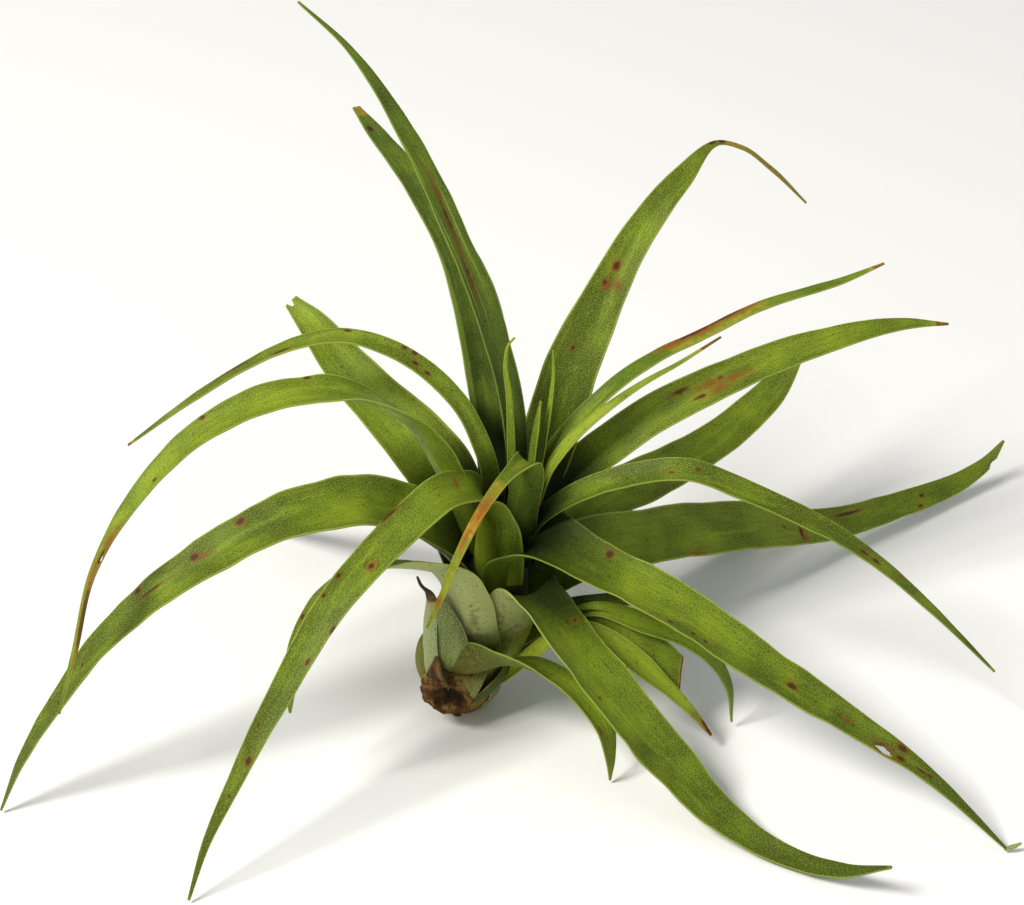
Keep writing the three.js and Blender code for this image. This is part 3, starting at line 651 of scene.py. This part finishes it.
            (-9.5, 46.5, 109.5, 2.7), (-17.5, 60.5, 112.7, 1.8), (-21.2, 68, 113.5, 0.9),
        ],
        "dry": [(0.95, 1.1, 0.7)],
        "marks": {"bruise": [(0.92, 0.4, 1.3, 0.8)], "line": [(0.4, 0.85, 30, 1), (0.4, 0.3, 30, 0.25)]},
    },
    "back_inner": {
        "look": "shaded", "shade": 1.5, "cup": (0.9, 0.5),
        "course": [
            (11.5, 16, 42, 2), (11.5, 19.5, 63.3, 2.4), (10.5, 24.5, 70.5, 2.6), (6.5, 43, 82.5, 2.4),
            (-0.5, 62, 90, 0.3),
        ],
    },
    "right_rear": {
        "look": "fresh", "cup": (0.9, 0.4), "roll": (40, 25),
        "course": [
            (13, 12, 27, 3.5), (30, 28, 36.5, 5.3), (41.3, 39, 34.6, 5.4), (55.3, 52, 33.9, 4.6),
            (73.9, 69.5, 40.2, 3.2), (82, 78, 49.5, 0.3),
        ],
        "dry": [(0.985, 1.1, 1.2)],
    },
    "left_cut": {
        "look": "fresh", "tone": (-0.1, 0.15), "shade": 1.6, "cup": (0.8, 0.5), "roll": (-38, -38),
        "course": [
            (5, 12, 32, 5), (-2.8, 17.5, 53, 7.2), (-16.3, 28.5, 63.5, 5.7), (-24.5, 36, 69, 4.6),
            (-31.5, 42, 75.5, 3), (-35.6, 46, 77.8, 1.6),
        ],
        "dry": [(0.985, 1.1, 1)], "holes": [(1, 0.25, 1.6, 0.8)],
        "marks": {"ring": [(0.905, 0.65, 1.3, 1.1), (0.757, 0.3, 1.1, 0.9), (0.742, 0, 1.1, 0.9)]},
    },
    "rear_left": {
        "look": "shaded", "cup": (1, 0.5),
        "course": [
            (4, 11, 25, 4), (-5.5, 22, 41.5, 4.5), (-17, 36, 32, 4.5), (-31.5, 50, 19, 3.5),
            (-52, 69, 1, 0.3),
        ],
    },
    "rear_right": {
        "look": "shaded", "cup": (1, 0.5),
        "course": [
            (10.5, 14, 22, 4), (30, 29, 25.5, 4.5), (46.5, 43, 16.5, 4), (61.5, 56, 7.5, 3),
            (75, 68, 1, 0.3),
        ],
    },
}

leafMake = {
    "rowStep": 0.6,  # mm between rows along a leaf
    "columnStep": 0.35,  # mm between columns across the widest part
    "leastHalfWidth": 0.2,  # mm, at the very tip
    "thickness": 0.9,  # mm along the midrib of a broad blade
    "tipThickness": 0.35,  # mm
    "thickening": 0.4,  # what a slender blade gains in thickness for each mm of its half width
    "marginShare": 0.35,  # a margin's thickness as a share of the midrib's
    "marginWander": 0.03,  # how far a margin strays in and out, as a share of the half width
    "flutter": 0.35,  # mm that a margin rises and falls
    "swings": (23, 27, 17, 21),  # mm, from swing to swing: both margins' wander, then their flutter
    "clasp": 0.25,  # the share of the length, from the base, that is held and swings less
    "broad": 5,  # mm, the half width from which a blade has its full flutter and groove
    "groove": 0.16,  # mm that the midrib lies below the channel
    "grooveWidth": 0.1,  # as a share of the half width
    "dryEdge": 0.03,  # the share of the length over which dryness sets in
    "paleFade": (5, 20),  # mm over which the pale base sets in and ends
    "shade": (1, 0.8),  # the usual shade of the upper and the lower face
    # where the leaves meet they lie in deep shade: the middle of each dark place, and its reach in mm
    "heart": ((15, 6, 40), 40),
    "hollow": ((21, -4, 31), 24),  # below the front leaves
    "seeds": 10,  # kept for each leaf's random draws
    "scrapSeeds": 1000,  # where those of the scraps start
}


def drift(distance, seed, span):
    # a slow irregular swing between -1 and 1: sines of the span, 0.6 and 0.37 of it, from random starts
    starts = np.random.default_rng(seed).uniform(0, 2 * np.pi, 3)
    shares = (1, 0.6, 0.37)
    waves = [k * np.sin(2 * np.pi * distance / (span * k) + start) for k, start in zip(shares, starts)]
    return sum(waves) / sum(shares)


def finerCourse(course, step):
    # A cubic through the rows. At each row it heads from the row before to the row after, the nearer one
    # counting more, and its half width runs with it. Gives the distance along, the points, the half widths.
    rows = np.array(course, float)
    gaps = np.linalg.norm(np.diff(rows[:, :3], axis=0), axis=1)
    slopes = np.diff(rows, axis=0) / gaps[:, None]
    heading = np.concatenate([slopes[:1], slopes[1:], slopes[-1:]])
    before, after = gaps[:-1, None], gaps[1:, None]
    heading[1:-1] = (slopes[:-1] * after + slopes[1:] * before) / (before + after)
    marks = np.concatenate([[0], np.cumsum(gaps)])
    distance = np.linspace(0, marks[-1], int(marks[-1] / step) + 2)
    k = np.clip(np.searchsorted(marks, distance, side="right") - 1, 0, len(gaps) - 1)
    t = ((distance - marks[k]) / gaps[k])[:, None]
    length = gaps[k][:, None]
    place = (
        rows[k] * (1 + 2 * t) * (1 - t) ** 2
        + rows[k + 1] * t ** 2 * (3 - 2 * t)
        + length * heading[k] * t * (1 - t) ** 2
        - length * heading[k + 1] * t ** 2 * (1 - t)
    )
    return distance, place[:, :3], np.maximum(place[:, 3], leafMake["leastHalfWidth"])


def unit(vectors):
    # each vector over its own length
    return vectors / np.linalg.norm(vectors, axis=-1, keepdims=True)


def spread(values, share):
    # one value, or several at even steps along the length, read at a share of it
    values = np.atleast_1d(values)
    return np.interp(share, np.linspace(0, 1, len(values)), values)


def smooth(share):
    # an even ease from 0 to 1
    share = np.clip(share, 0, 1)
    return share * share * (3 - 2 * share)


def leafSheet(leaf, seed):
    # The blade's middle surface. Across, it is an arc from margin to margin, hollow on top: its angle from
    # the midrib to a margin is the cup, which falls off as the cube of what is left of the length, and it
    # stands square to the course, turned by the roll. The course runs midway between the margins. The
    # margins wander and flutter, which grows as the cube of the place across, and the midrib lies lower.
    distance, course, half = finerCourse(leaf["course"], leafMake["rowStep"])
    share = distance / distance[-1]
    along = unit(np.gradient(course, axis=0))
    reach = course[-1] - course[0]
    level = unit(np.array([-reach[1], reach[0], 0]))
    side = unit(level - (along @ level)[:, None] * along)
    turn = np.radians(spread(leaf.get("roll", 0), share))[:, None]
    side = side * np.cos(turn) + np.cross(along, side) * np.sin(turn)
    upper = np.cross(along, side)
    baseCup, tipCup = leaf["cup"]
    bend = (tipCup + (baseCup - tipCup) * (1 - share) ** 3)[:, None]
    columns = 2 * int(half.max() / leafMake["columnStep"] / 2) + 9
    across = np.sin(np.linspace(-np.pi / 2, np.pi / 2, columns))
    free = np.clip(share / leafMake["clasp"], 0, 1)[:, None]
    broad = np.clip(half / leafMake["broad"], 0, 1)[:, None]
    margins = [drift(distance, seed + k, span)[:, None] for k, span in enumerate(leafMake["swings"])]
    wander = leafMake["marginWander"] * free * np.where(across < 0, margins[0], margins[1])
    wide = half[:, None] * (1 + wander)
    angle = across * bend
    flutter = leafMake["flutter"] * broad * free * np.abs(across) ** 3
    flutter = flutter * np.where(across < 0, margins[2], margins[3])
    rise = wide * ((1 - np.cos(angle)) / np.sin(bend) - np.tan(bend / 2)) + flutter
    rise = rise - leafMake["groove"] * broad * np.exp(-(across / leafMake["grooveWidth"]) ** 2)
    out = wide * np.sin(angle) / np.sin(bend)
    lastFifth = smooth(share * 5 - 4)[:, None]
    slant = leaf.get("slant", 0) * half[-1] * across * lastFifth
    sheet = course[:, None] + side[:, None] * out[..., None] + upper[:, None] * rise[..., None]
    sheet = sheet + along[:, None] * slant[..., None]
    facing = np.cos(angle)[..., None] * upper[:, None] - np.sin(angle)[..., None] * side[:, None]
    arc = (half[:, None] * bend / np.sin(bend)) * across
    thick = leafMake["tipThickness"] + leafMake["thickening"] * half
    thick = np.minimum(leafMake["thickness"], thick)[:, None]
    thick = thick * (1 + (leafMake["marginShare"] - 1) * np.abs(across) ** 2.5)
    return {
        "distance": np.broadcast_to(distance[:, None], arc.shape), "length": distance[-1],
        "share": share, "across": np.broadcast_to(across, arc.shape), "arc": arc,
        "sheet": sheet, "facing": facing, "thick": thick,
    }


def nearness(grid, spots):
    # 1 at the middle of the nearest spot, 0 at its edge and below that outside; a spot is an ellipse given
    # by its share of the length, its place across, and half its length and width in mm
    best = np.full(grid["arc"].shape, -1.0)
    halfArc = grid["arc"][:, -1]
    for where, sideways, long, wide in spots:
        centre = sideways * np.interp(where, grid["share"], halfArc)
        reach = np.hypot((grid["distance"] - where * grid["length"]) / long, (grid["arc"] - centre) / wide)
        best = np.maximum(best, 1 - reach)
    return best


def leafFields(grid, leaf):
    # What the tissue needs to know at each point of the upper and the lower face. A place of painted shade
    # fades evenly from its middle to its reach, and a ring is darkest a quarter of the way into its spot.
    share = np.broadcast_to(grid["share"][:, None], grid["arc"].shape)
    kinds = ("bruise", "ring", "rust", "line", "stain")
    marks = leaf.get("marks", {})
    near = {kind: nearness(grid, marks.get(kind, ())) for kind in kinds}
    dry = np.zeros(share.shape)
    for start, end, strength in leaf.get("dry", ()):
        begun = smooth((share - start) / leafMake["dryEdge"])
        going = smooth((end - share) / leafMake["dryEdge"])
        dry = np.maximum(dry, strength * begun * going)
    start, end = leaf.get("sheath", (0, 0))
    fadeIn, fadeOut = leafMake["paleFade"]
    pale = smooth((grid["distance"] - start) / fadeIn + 0.5)
    pale = pale * np.clip((end - grid["distance"]) / fadeOut, 0, 1)
    # painted shade among the leaves: strongest at the middle of the heart and of the hollow, none at their
    # reach
    heart, hollow = (
        np.clip(1 - np.linalg.norm(grid["sheet"] - place, axis=-1) / reach, 0, 1)
        for place, reach in (leafMake["heart"], leafMake["hollow"])
    )
    usualShade, usualBelow = leafMake["shade"]
    shade, below = leaf.get("shade", usualShade), leaf.get("below", usualBelow)
    upper = dict(
        near, tone=spread(leaf.get("tone", 0), share), edge=np.abs(grid["across"]),
        pale=np.zeros(share.shape), dry=dry, ring=1 - np.abs(near["ring"] - 0.25) / 0.25,
        shade=np.maximum(heart, hollow) * shade,
    )
    lower = dict(upper, pale=pale, shade=np.maximum(heart * below, hollow * (below > 0)))
    return {key: np.concatenate([upper[key].ravel(), lower[key].ravel()]) for key in upper}


def shellQuads(alive):
    # Quads of a sheet with two faces: the upper grid, the lower grid turned round, and a wall along
    # every edge that has a living cell on one side only.
    rows, columns = alive.shape[0] + 1, alive.shape[1] + 1
    upper = np.arange(rows * columns).reshape(rows, columns)
    lower = upper + rows * columns
    face = np.stack([upper[:-1, :-1], upper[1:, :-1], upper[1:, 1:], upper[:-1, 1:]], -1)[alive]
    quads = [face, face[:, ::-1] + rows * columns]
    lengthwise = np.pad(alive, ((0, 0), (1, 1)))
    crosswise = np.pad(alive, ((1, 1), (0, 0)))
    first = np.stack([upper[1:], upper[:-1], lower[:-1], lower[1:]], -1)
    quads.append(first[lengthwise[:, 1:] & ~lengthwise[:, :-1]])
    quads.append(first[lengthwise[:, :-1] & ~lengthwise[:, 1:]][:, [1, 0, 3, 2]])
    second = np.stack([upper[:, :-1], upper[:, 1:], lower[:, 1:], lower[:, :-1]], -1)
    quads.append(second[crosswise[1:] & ~crosswise[:-1]])
    quads.append(second[crosswise[:-1] & ~crosswise[1:]][:, [1, 0, 3, 2]])
    return np.concatenate(quads)


def makePiece(name, points, faces, uv, fields, material, node):
    # a smooth mesh object from whole arrays
    mesh = bpy.data.meshes.new(name)
    mesh.from_pydata((points * mm).tolist(), [], faces)
    corners = np.empty(len(mesh.loops), np.int32)
    mesh.loops.foreach_get("vertex_index", corners)
    mesh.uv_layers.new(name="blade").data.foreach_set("uv", uv[corners].astype(np.float32).ravel())
    for key, values in fields.items():
        mesh.attributes.new(key, "FLOAT", "POINT").data.foreach_set("value", values.astype(np.float32))
    mesh.polygons.foreach_set("use_smooth", np.ones(len(mesh.polygons), bool))
    mesh.materials.append(material)
    mesh.update()
    piece = bpy.data.objects.new(name, mesh)
    bpy.context.scene.collection.objects.link(piece)
    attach(piece, "root")
    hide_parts(node)


def makeLeaf(name, leaf, seed, node):
    # The upper and the lower face stand half of the thickness off the sheet. A cell is cut away where all
    # of its corners lie in a hole.
    grid = leafSheet(leaf, seed)
    inside = nearness(grid, leaf.get("holes", ()))
    corners = np.stack([inside[:-1, :-1], inside[1:, :-1], inside[1:, 1:], inside[:-1, 1:]])
    alive = ~(corners > 0).all(0)
    offset = grid["facing"] * grid["thick"][..., None] / 2
    points = np.concatenate([grid["sheet"] + offset, grid["sheet"] - offset]).reshape(-1, 3)
    run = np.stack([grid["distance"], grid["arc"]], -1).reshape(-1, 2)
    uv = np.concatenate([run, run + (0, 40)])  # the lower face has its own stretch of the pattern
    fields = leafFields(grid, leaf)
    used, faces = np.unique(shellQuads(alive), return_inverse=True)
    fields = {key: values[used] for key, values in fields.items()}
    look = leaf["look"]
    faces = faces.reshape(-1, 4).tolist()
    makePiece(name, points[used], faces, uv[used], fields, materials[look], node)


# Scraps made as the leaves are: old sheath round the torn end, and the papery curl at a leaf's tip, which
# belongs to that leaf's node. The others belong to the stem.
scraps = {
    "curl": {
        "node": "leaf_right_long",
        "look": "sheath", "tone": 0.6, "shade": 0, "below": 0, "cup": (0.8, 0.6), "roll": (20, 40),
        "sheath": (-9, 60),
        "course": [(114.4, -45, 1, 0.35), (115.9, -45, 1.6, 0.5), (117.8, -44.9, 2.6, 0.2)],
    },
    "flap": {
        "look": "sheath", "tone": 0.05, "shade": 0, "below": 0, "cup": (0.5, 0.3),
        "course": [(3, -4, 16.4, 4.8), (3.8, -6.4, 14.4, 3.2), (4.4, -7.9, 10.6, 0.3)],
        "dry": [(-1, 0.8, 0.35), (0.85, 2, 0.5)],
    },
    "scrap": {
        "look": "sheath", "shade": 0, "below": 0, "cup": (0.5, 0.5), "roll": (180, 180),
        "course": [(-3.4, -7.6, 15, 3), (-3.6, -8.3, 18, 2), (-3.6, -7.9, 22, 0.3)],
        "dry": [(-1, 2, 1.3)],
        "marks": {"bruise": [(0.2, 0.4, 4, 1)], "rust": [(0.5, -0.3, 5, 1)]},
    },
}

for number, (name, leaf) in enumerate(leaves.items()):
    makeLeaf(name, leaf, leafMake["seeds"] * number, "leaf_" + name)
for number, (name, scrap) in enumerate(scraps.items()):
    seed = leafMake["scrapSeeds"] + leafMake["seeds"] * number
    makeLeaf(name, scrap, seed, scrap.get("node", "stem"))
print("leaves made:", len(leaves), "and scraps:", len(scraps))

# The bulb: the bases of old leaves packed round a short stem. Each row of a course is a point of the middle
# line and the radius there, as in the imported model.
bulb = {
    "course": [
        (1.2, 3, -1, 3.6), (2, 3.5, 4, 7), (3, 4.2, 12, 9), (4.8, 5.2, 20, 10), (7.5, 7, 27.5, 9.5),
        (11, 9.5, 35.5, 5.8), (14, 12, 43, 3.2), (17, 14, 52, 1.2),
    ],
    "rowStep": 0.3,  # mm between rings
    "columns": 240,  # round a ring
    "under": 0.5,  # mm that the bulb lies below its outline, under the old sheaths
    "girth": 10,  # mm, about its radius, by which an angle becomes a distance round it
    "wrap": 9,  # mm, the same for the pattern
    "ribs": ((0.1, 7, 2.1, 0), (0.08, 8, 0.9, 0.1)),  # mm high, seed, mm from rib to rib, and lean
    "decay": (0.05, 0.3),  # everywhere, and what is added towards the foot
    "decayHeight": (20, 16),  # mm, where that starts, and how far down it is in full
    "neckHeight": (22, 8),  # mm, where the shaded neck starts, and how far up it is in full
}
# Old sheaths clasping the bulb, the innermost first: the angle of the middle in degrees (0 is to the right,
# -90 in front), the height of its foot and its tip in mm, half of its span in degrees, and its tone.
sheaths = [
    (170, 3, 36, 62, 0.1), (60, 2, 34, 60, 0), (115, 2, 30, 58, -0.1), (5, 1.5, 27, 55, -0.15),
    (200, 1.5, 24, 50, -0.3), (85, 1, 21, 52, -0.2), (150, 0.5, 14, 55, -0.4),
]
sheathMake = {
    "rows": 60,
    "columns": 61,
    "thickness": 0.5,  # mm
    "under": 0.2,  # mm that the first lies below the bulb's outline
    "layer": 0.14,  # mm that each one lies over the one before
    "flare": 1.6,  # mm that a tip stands off at its margins
    "flareMiddle": 0.6,  # the share of that at its middle
    "narrowing": 0.85,  # the share of its span that it loses towards the tip
    "droop": 0.08,  # how much lower its margins lie, as a share of their height
    "dry": (0.25, 0.9),  # everywhere, and what is added over the last fifth
    "wander": (4, 13),  # degrees that it strays sideways, and mm from swing to swing
    "crumple": (0.08, 1.7),  # mm high, and mm from fold to fold
    "seeds": (50, 60),  # where those of the wander and of the crumples start
}
# The torn end where the stem once grew on, with its rotted pith.
stub = {
    "course": [(3, 4, 12, 7.5), (0, -1.5, 11, 6.8), (-2.2, -7, 10, 5.5)],
    "rings": 40,  # over its torn face
    "wrap": 6,  # mm, the radius by which an angle becomes a distance round it for the pattern
    "pith": (0.25, -0.1, 0.7),  # its place across and up and its radius, as shares of the end's radius
    "pithDepth": 3,  # mm
    # the pith's darkness is its rot together with painted shade in its hollow
    "pithEdge": (1.4, 1.3),  # where its hollow and its darkness start, in its own radii
    "rim": 0.8,  # mm that the face swells between rim and middle
    "coarse": (3, 2.6, 0.3),  # lumps: seed, size and height in mm
    "fine": (4, 0.9, 0.2),
    "decay": (0.28, 0.2, 0.5),  # where it leaves the bulb, what is added by its rim, and on its face
    "mottle": (0.12, 0.1),  # what the coarse and the fine lumps add to the decay
    # painted shade in the low places between the lumps
    "pitShade": (0.6, 0.5),  # how low the lumps lie where a pit starts, and how much the coarse ones count
}


def roundGrid(course):
    # Rings square to the middle line: the distance along it, its points, its heading and the radius at each,
    # then the angle of each column and the way out at each point.
    distance, middle, radius = finerCourse(course, bulb["rowStep"])
    along = unit(np.gradient(middle, axis=0))
    side = unit(np.array([1, 0, 0]) - along[:, :1] * along)
    other = np.cross(along, side)
    angle = np.linspace(-np.pi * 1.5, np.pi * 0.5, bulb["columns"], endpoint=False)
    out = side[:, None] * np.cos(angle)[:, None] + other[:, None] * np.sin(angle)[:, None]
    return distance, middle, along, radius, angle, out


def roundFaces(rows, columns):
    # quads between neighbouring rings, and one face over each end
    ring = np.arange(columns)
    first = np.arange(rows - 1)[:, None] * columns
    here, there = first + ring, first + np.roll(ring, -1)
    quads = np.stack([here, there, there + columns, here + columns], -1).reshape(-1, 4)
    return quads.tolist() + [ring[::-1].tolist(), (ring + (rows - 1) * columns).tolist()]


def makeBulb():
    # Rings a little inside the course's radius, under the old sheaths, with ribs that run up them. It is
    # decayed towards the foot, painted darkest at the neck where the leaf bases shade it, and cut level where
    # it stands.
    _, middle, _, radius, angle, out = roundGrid(bulb["course"])
    height = np.broadcast_to(middle[:, 2:], out.shape[:2])
    around = angle * bulb["girth"]
    ribs = sum(tall * drift(around + height * lean, seed, gap) for tall, seed, gap, lean in bulb["ribs"])
    points = middle[:, None] + out * (radius[:, None] - bulb["under"] + ribs)[..., None]
    points[..., 2] = np.maximum(points[..., 2], 0)
    uv = np.stack(np.broadcast_arrays(height, angle * bulb["wrap"]), -1).reshape(-1, 2)
    (everywhere, added), (top, down), (foot, up) = bulb["decay"], bulb["decayHeight"], bulb["neckHeight"]
    decay = everywhere + added * smooth((top - height) / down)
    fields = {"decay": decay.ravel(), "neckShade": smooth((height - foot) / up).ravel()}
    faces = roundFaces(*height.shape)
    makePiece("bulb", points.reshape(-1, 3), faces, uv, fields, materials["bark"], "stem")


def makeSheath(number, where, foot, tip, span, tone):
    # A sheath follows the bulb from its foot up to its tip, one layer above the sheath before. Its span
    # narrows as the cube of the share of its height, and its tip stands off as the square of it.
    _, middle, radius = finerCourse(bulb["course"], bulb["rowStep"])
    share = np.linspace(0, 1, sheathMake["rows"])[:, None]
    across = np.linspace(-1, 1, sheathMake["columns"])
    level = foot + (tip - foot) * share * (1 - sheathMake["droop"] * across ** 2)
    at = np.stack([np.interp(level, middle[:, 2], column) for column in (*middle.T, radius)], -1)
    (stray, swing), (fold, gap) = sheathMake["wander"], sheathMake["crumple"]
    wanderSeed, foldSeed = sheathMake["seeds"]
    wander = stray * drift(share[:, 0] * (tip - foot), wanderSeed + number, swing)[:, None]
    turn = np.radians(where + wander + span * across * (1 - sheathMake["narrowing"] * share ** 3))
    middleShare = sheathMake["flareMiddle"]
    flare = sheathMake["flare"] * share ** 2 * (middleShare + (1 - middleShare) * across ** 2)
    stand = at[..., 3] - sheathMake["under"] + sheathMake["layer"] * number + flare
    stand = stand + fold * drift(turn * bulb["girth"], foldSeed + number, gap)
    radial = np.stack([np.cos(turn), np.sin(turn), np.zeros(turn.shape)], -1)
    outside = at[..., :3] + radial * stand[..., None]
    inside = outside - radial * sheathMake["thickness"]
    edge = np.broadcast_to(np.abs(across), turn.shape)
    rise = np.broadcast_to(share, turn.shape)
    everywhere, added = sheathMake["dry"]
    dry = added * smooth((rise - 0.8) / 0.2) + everywhere
    fields = {key: np.zeros(turn.shape) for key in ("pale", "ring", "line", "shade")}
    fields.update(  # stained at its foot, and rusty with a few bruises towards its tip
        tone=np.full(turn.shape, tone), edge=edge, dry=dry,
        rust=rise - 0.9, bruise=rise - 1.3, stain=1 - rise,
    )
    fields = {key: np.tile(values.ravel(), 2) for key, values in fields.items()}
    points = np.concatenate([outside, inside]).reshape(-1, 3)
    uv = np.stack([np.broadcast_to(level, turn.shape), turn * bulb["wrap"]], -1).reshape(-1, 2)
    cells = np.ones((sheathMake["rows"] - 1, sheathMake["columns"] - 1), bool)
    faces = shellQuads(cells)[:, ::-1].tolist()
    makePiece(
        "sheath" + str(number), points, faces, np.tile(uv, (2, 1)), fields, materials["sheath"],
        "stem",
    )


def lumps(points, seed, size):
    # uneven bumps, mostly between -1 and 1: waves of random heading and of about this size, in mm, added up
    waves = 9
    rng = np.random.default_rng(seed)
    heading = unit(rng.normal(size=(waves, 3))) * 2 * np.pi / (size * rng.uniform(0.6, 1.6, (waves, 1)))
    return np.sin(points @ heading.T + rng.uniform(0, 2 * np.pi, waves)).sum(-1) / (waves / 2)


def makeStub():
    # The side of the stub, then rings that shrink over its torn face and sink into the rotted pith. Lumps
    # push the side outwards and the face along the stub, and it is cut level where it stands.
    distance, middle, along, radius, angle, out = roundGrid(stub["course"])
    inward = np.linspace(1, 0.02, stub["rings"])[1:, None]
    side = middle[:, None] + out * radius[:, None, None]
    face = middle[-1] + out[-1] * radius[-1] * inward[..., None]
    across, up, size = stub["pith"]
    reach = np.hypot(inward * np.cos(angle) - across, inward * np.sin(angle) - up) / size
    hollowEdge, darkEdge = stub["pithEdge"]
    sink = stub["pithDepth"] * smooth(hollowEdge - reach) - stub["rim"] * np.sin(np.pi * inward) ** 2
    face = face - along[-1] * sink[..., None]
    points = np.concatenate([side, face])
    (coarseSeed, coarseSize, coarseHeight), (fineSeed, fineSize, fineHeight) = stub["coarse"], stub["fine"]
    coarse, fine = lumps(points, coarseSeed, coarseSize), lumps(points, fineSeed, fineSize)
    push = np.concatenate([out, np.broadcast_to(along[-1], face.shape)])
    points = points + push * (coarseHeight * coarse + fineHeight * fine)[..., None]
    points[..., 2] = np.maximum(points[..., 2], 0)
    start, added, torn = stub["decay"]
    worn = np.concatenate([start + added * distance / distance[-1], np.full(len(face), torn)])[:, None]
    (coarseMottle, fineMottle), (low, coarseShare) = stub["mottle"], stub["pitShade"]
    decay = worn + coarseMottle * coarse + fineMottle * fine
    pith = np.concatenate([np.zeros(side.shape[:2]), smooth(darkEdge - reach)])
    # painted shade in the lowest places between the lumps
    pitShade = smooth(-low - fine - coarseShare * coarse)  # the lowest places between the lumps
    rotAndShade = pith + pitShade
    run = np.arange(len(points))[:, None] * bulb["rowStep"]
    uv = np.stack(np.broadcast_arrays(run, angle * stub["wrap"]), -1).reshape(-1, 2)
    fields = {"decay": decay.ravel(), "rotAndShade": rotAndShade.ravel()}
    faces = roundFaces(*rotAndShade.shape)
    makePiece("stub", points.reshape(-1, 3), faces, uv, fields, materials["bark"], "stem")


makeBulb()
for number, sheath in enumerate(sheaths):
    makeSheath(number, *sheath)
makeStub()
print("bulb, old sheaths and torn end made")

table = {
    "colour": "#f4f4f2",
    "roughness": 0.9,  # uncoated paper
    "size": 3,  # metres
}
lights = [
    # name, place, size across in metres, watts, colour
    ("key", (-0.8, -0.55, 1.2), 0.45, 26, "#fffcf6"),
    ("fill", (1, -0.7, 0.7), 0.8, 3, "#f4f8ff"),
]
plantMiddle = (0.01, 0, 0.04)  # metres, where the lights are aimed
studio = {"colour": "#ffffff", "strength": 0.36}


def makeTable():
    # one flat square under the plant
    half = table["size"] / 2
    corners = [(-half, -half, 0), (half, -half, 0), (half, half, 0), (-half, half, 0)]
    mesh = bpy.data.meshes.new("table")
    mesh.from_pydata(corners, [], [(0, 1, 2, 3)])
    material, _, shader = blankMaterial("matPaper")
    shader.inputs["Base Color"].default_value = linear(table["colour"])
    shader.inputs["Roughness"].default_value = table["roughness"]
    mesh.materials.append(material)
    floor = bpy.data.objects.new("table", mesh)
    bpy.context.scene.collection.objects.link(floor)


def makeLights():
    # soft square lamps that face the plant, and an even white surround
    for name, place, size, power, colour in lights:
        lamp = bpy.data.lights.new(name, "AREA")
        lamp.size = size
        lamp.energy = power
        lamp.color = linear(colour)[:3]
        light = bpy.data.objects.new(name, lamp)
        light.location = place
        aim = Vector(np.array(plantMiddle) - np.array(place))
        light.rotation_euler = aim.to_track_quat("-Z", "Y").to_euler()
        bpy.context.scene.collection.objects.link(light)
    world = bpy.data.worlds.new("studio")
    world.use_nodes = True
    background = world.node_tree.nodes["Background"]
    background.inputs["Color"].default_value = linear(studio["colour"])
    background.inputs["Strength"].default_value = studio["strength"]
    bpy.context.scene.world = world


makeTable()
makeLights()
bpy.context.scene.view_settings.view_transform = "Standard"
print("table and lights in place")
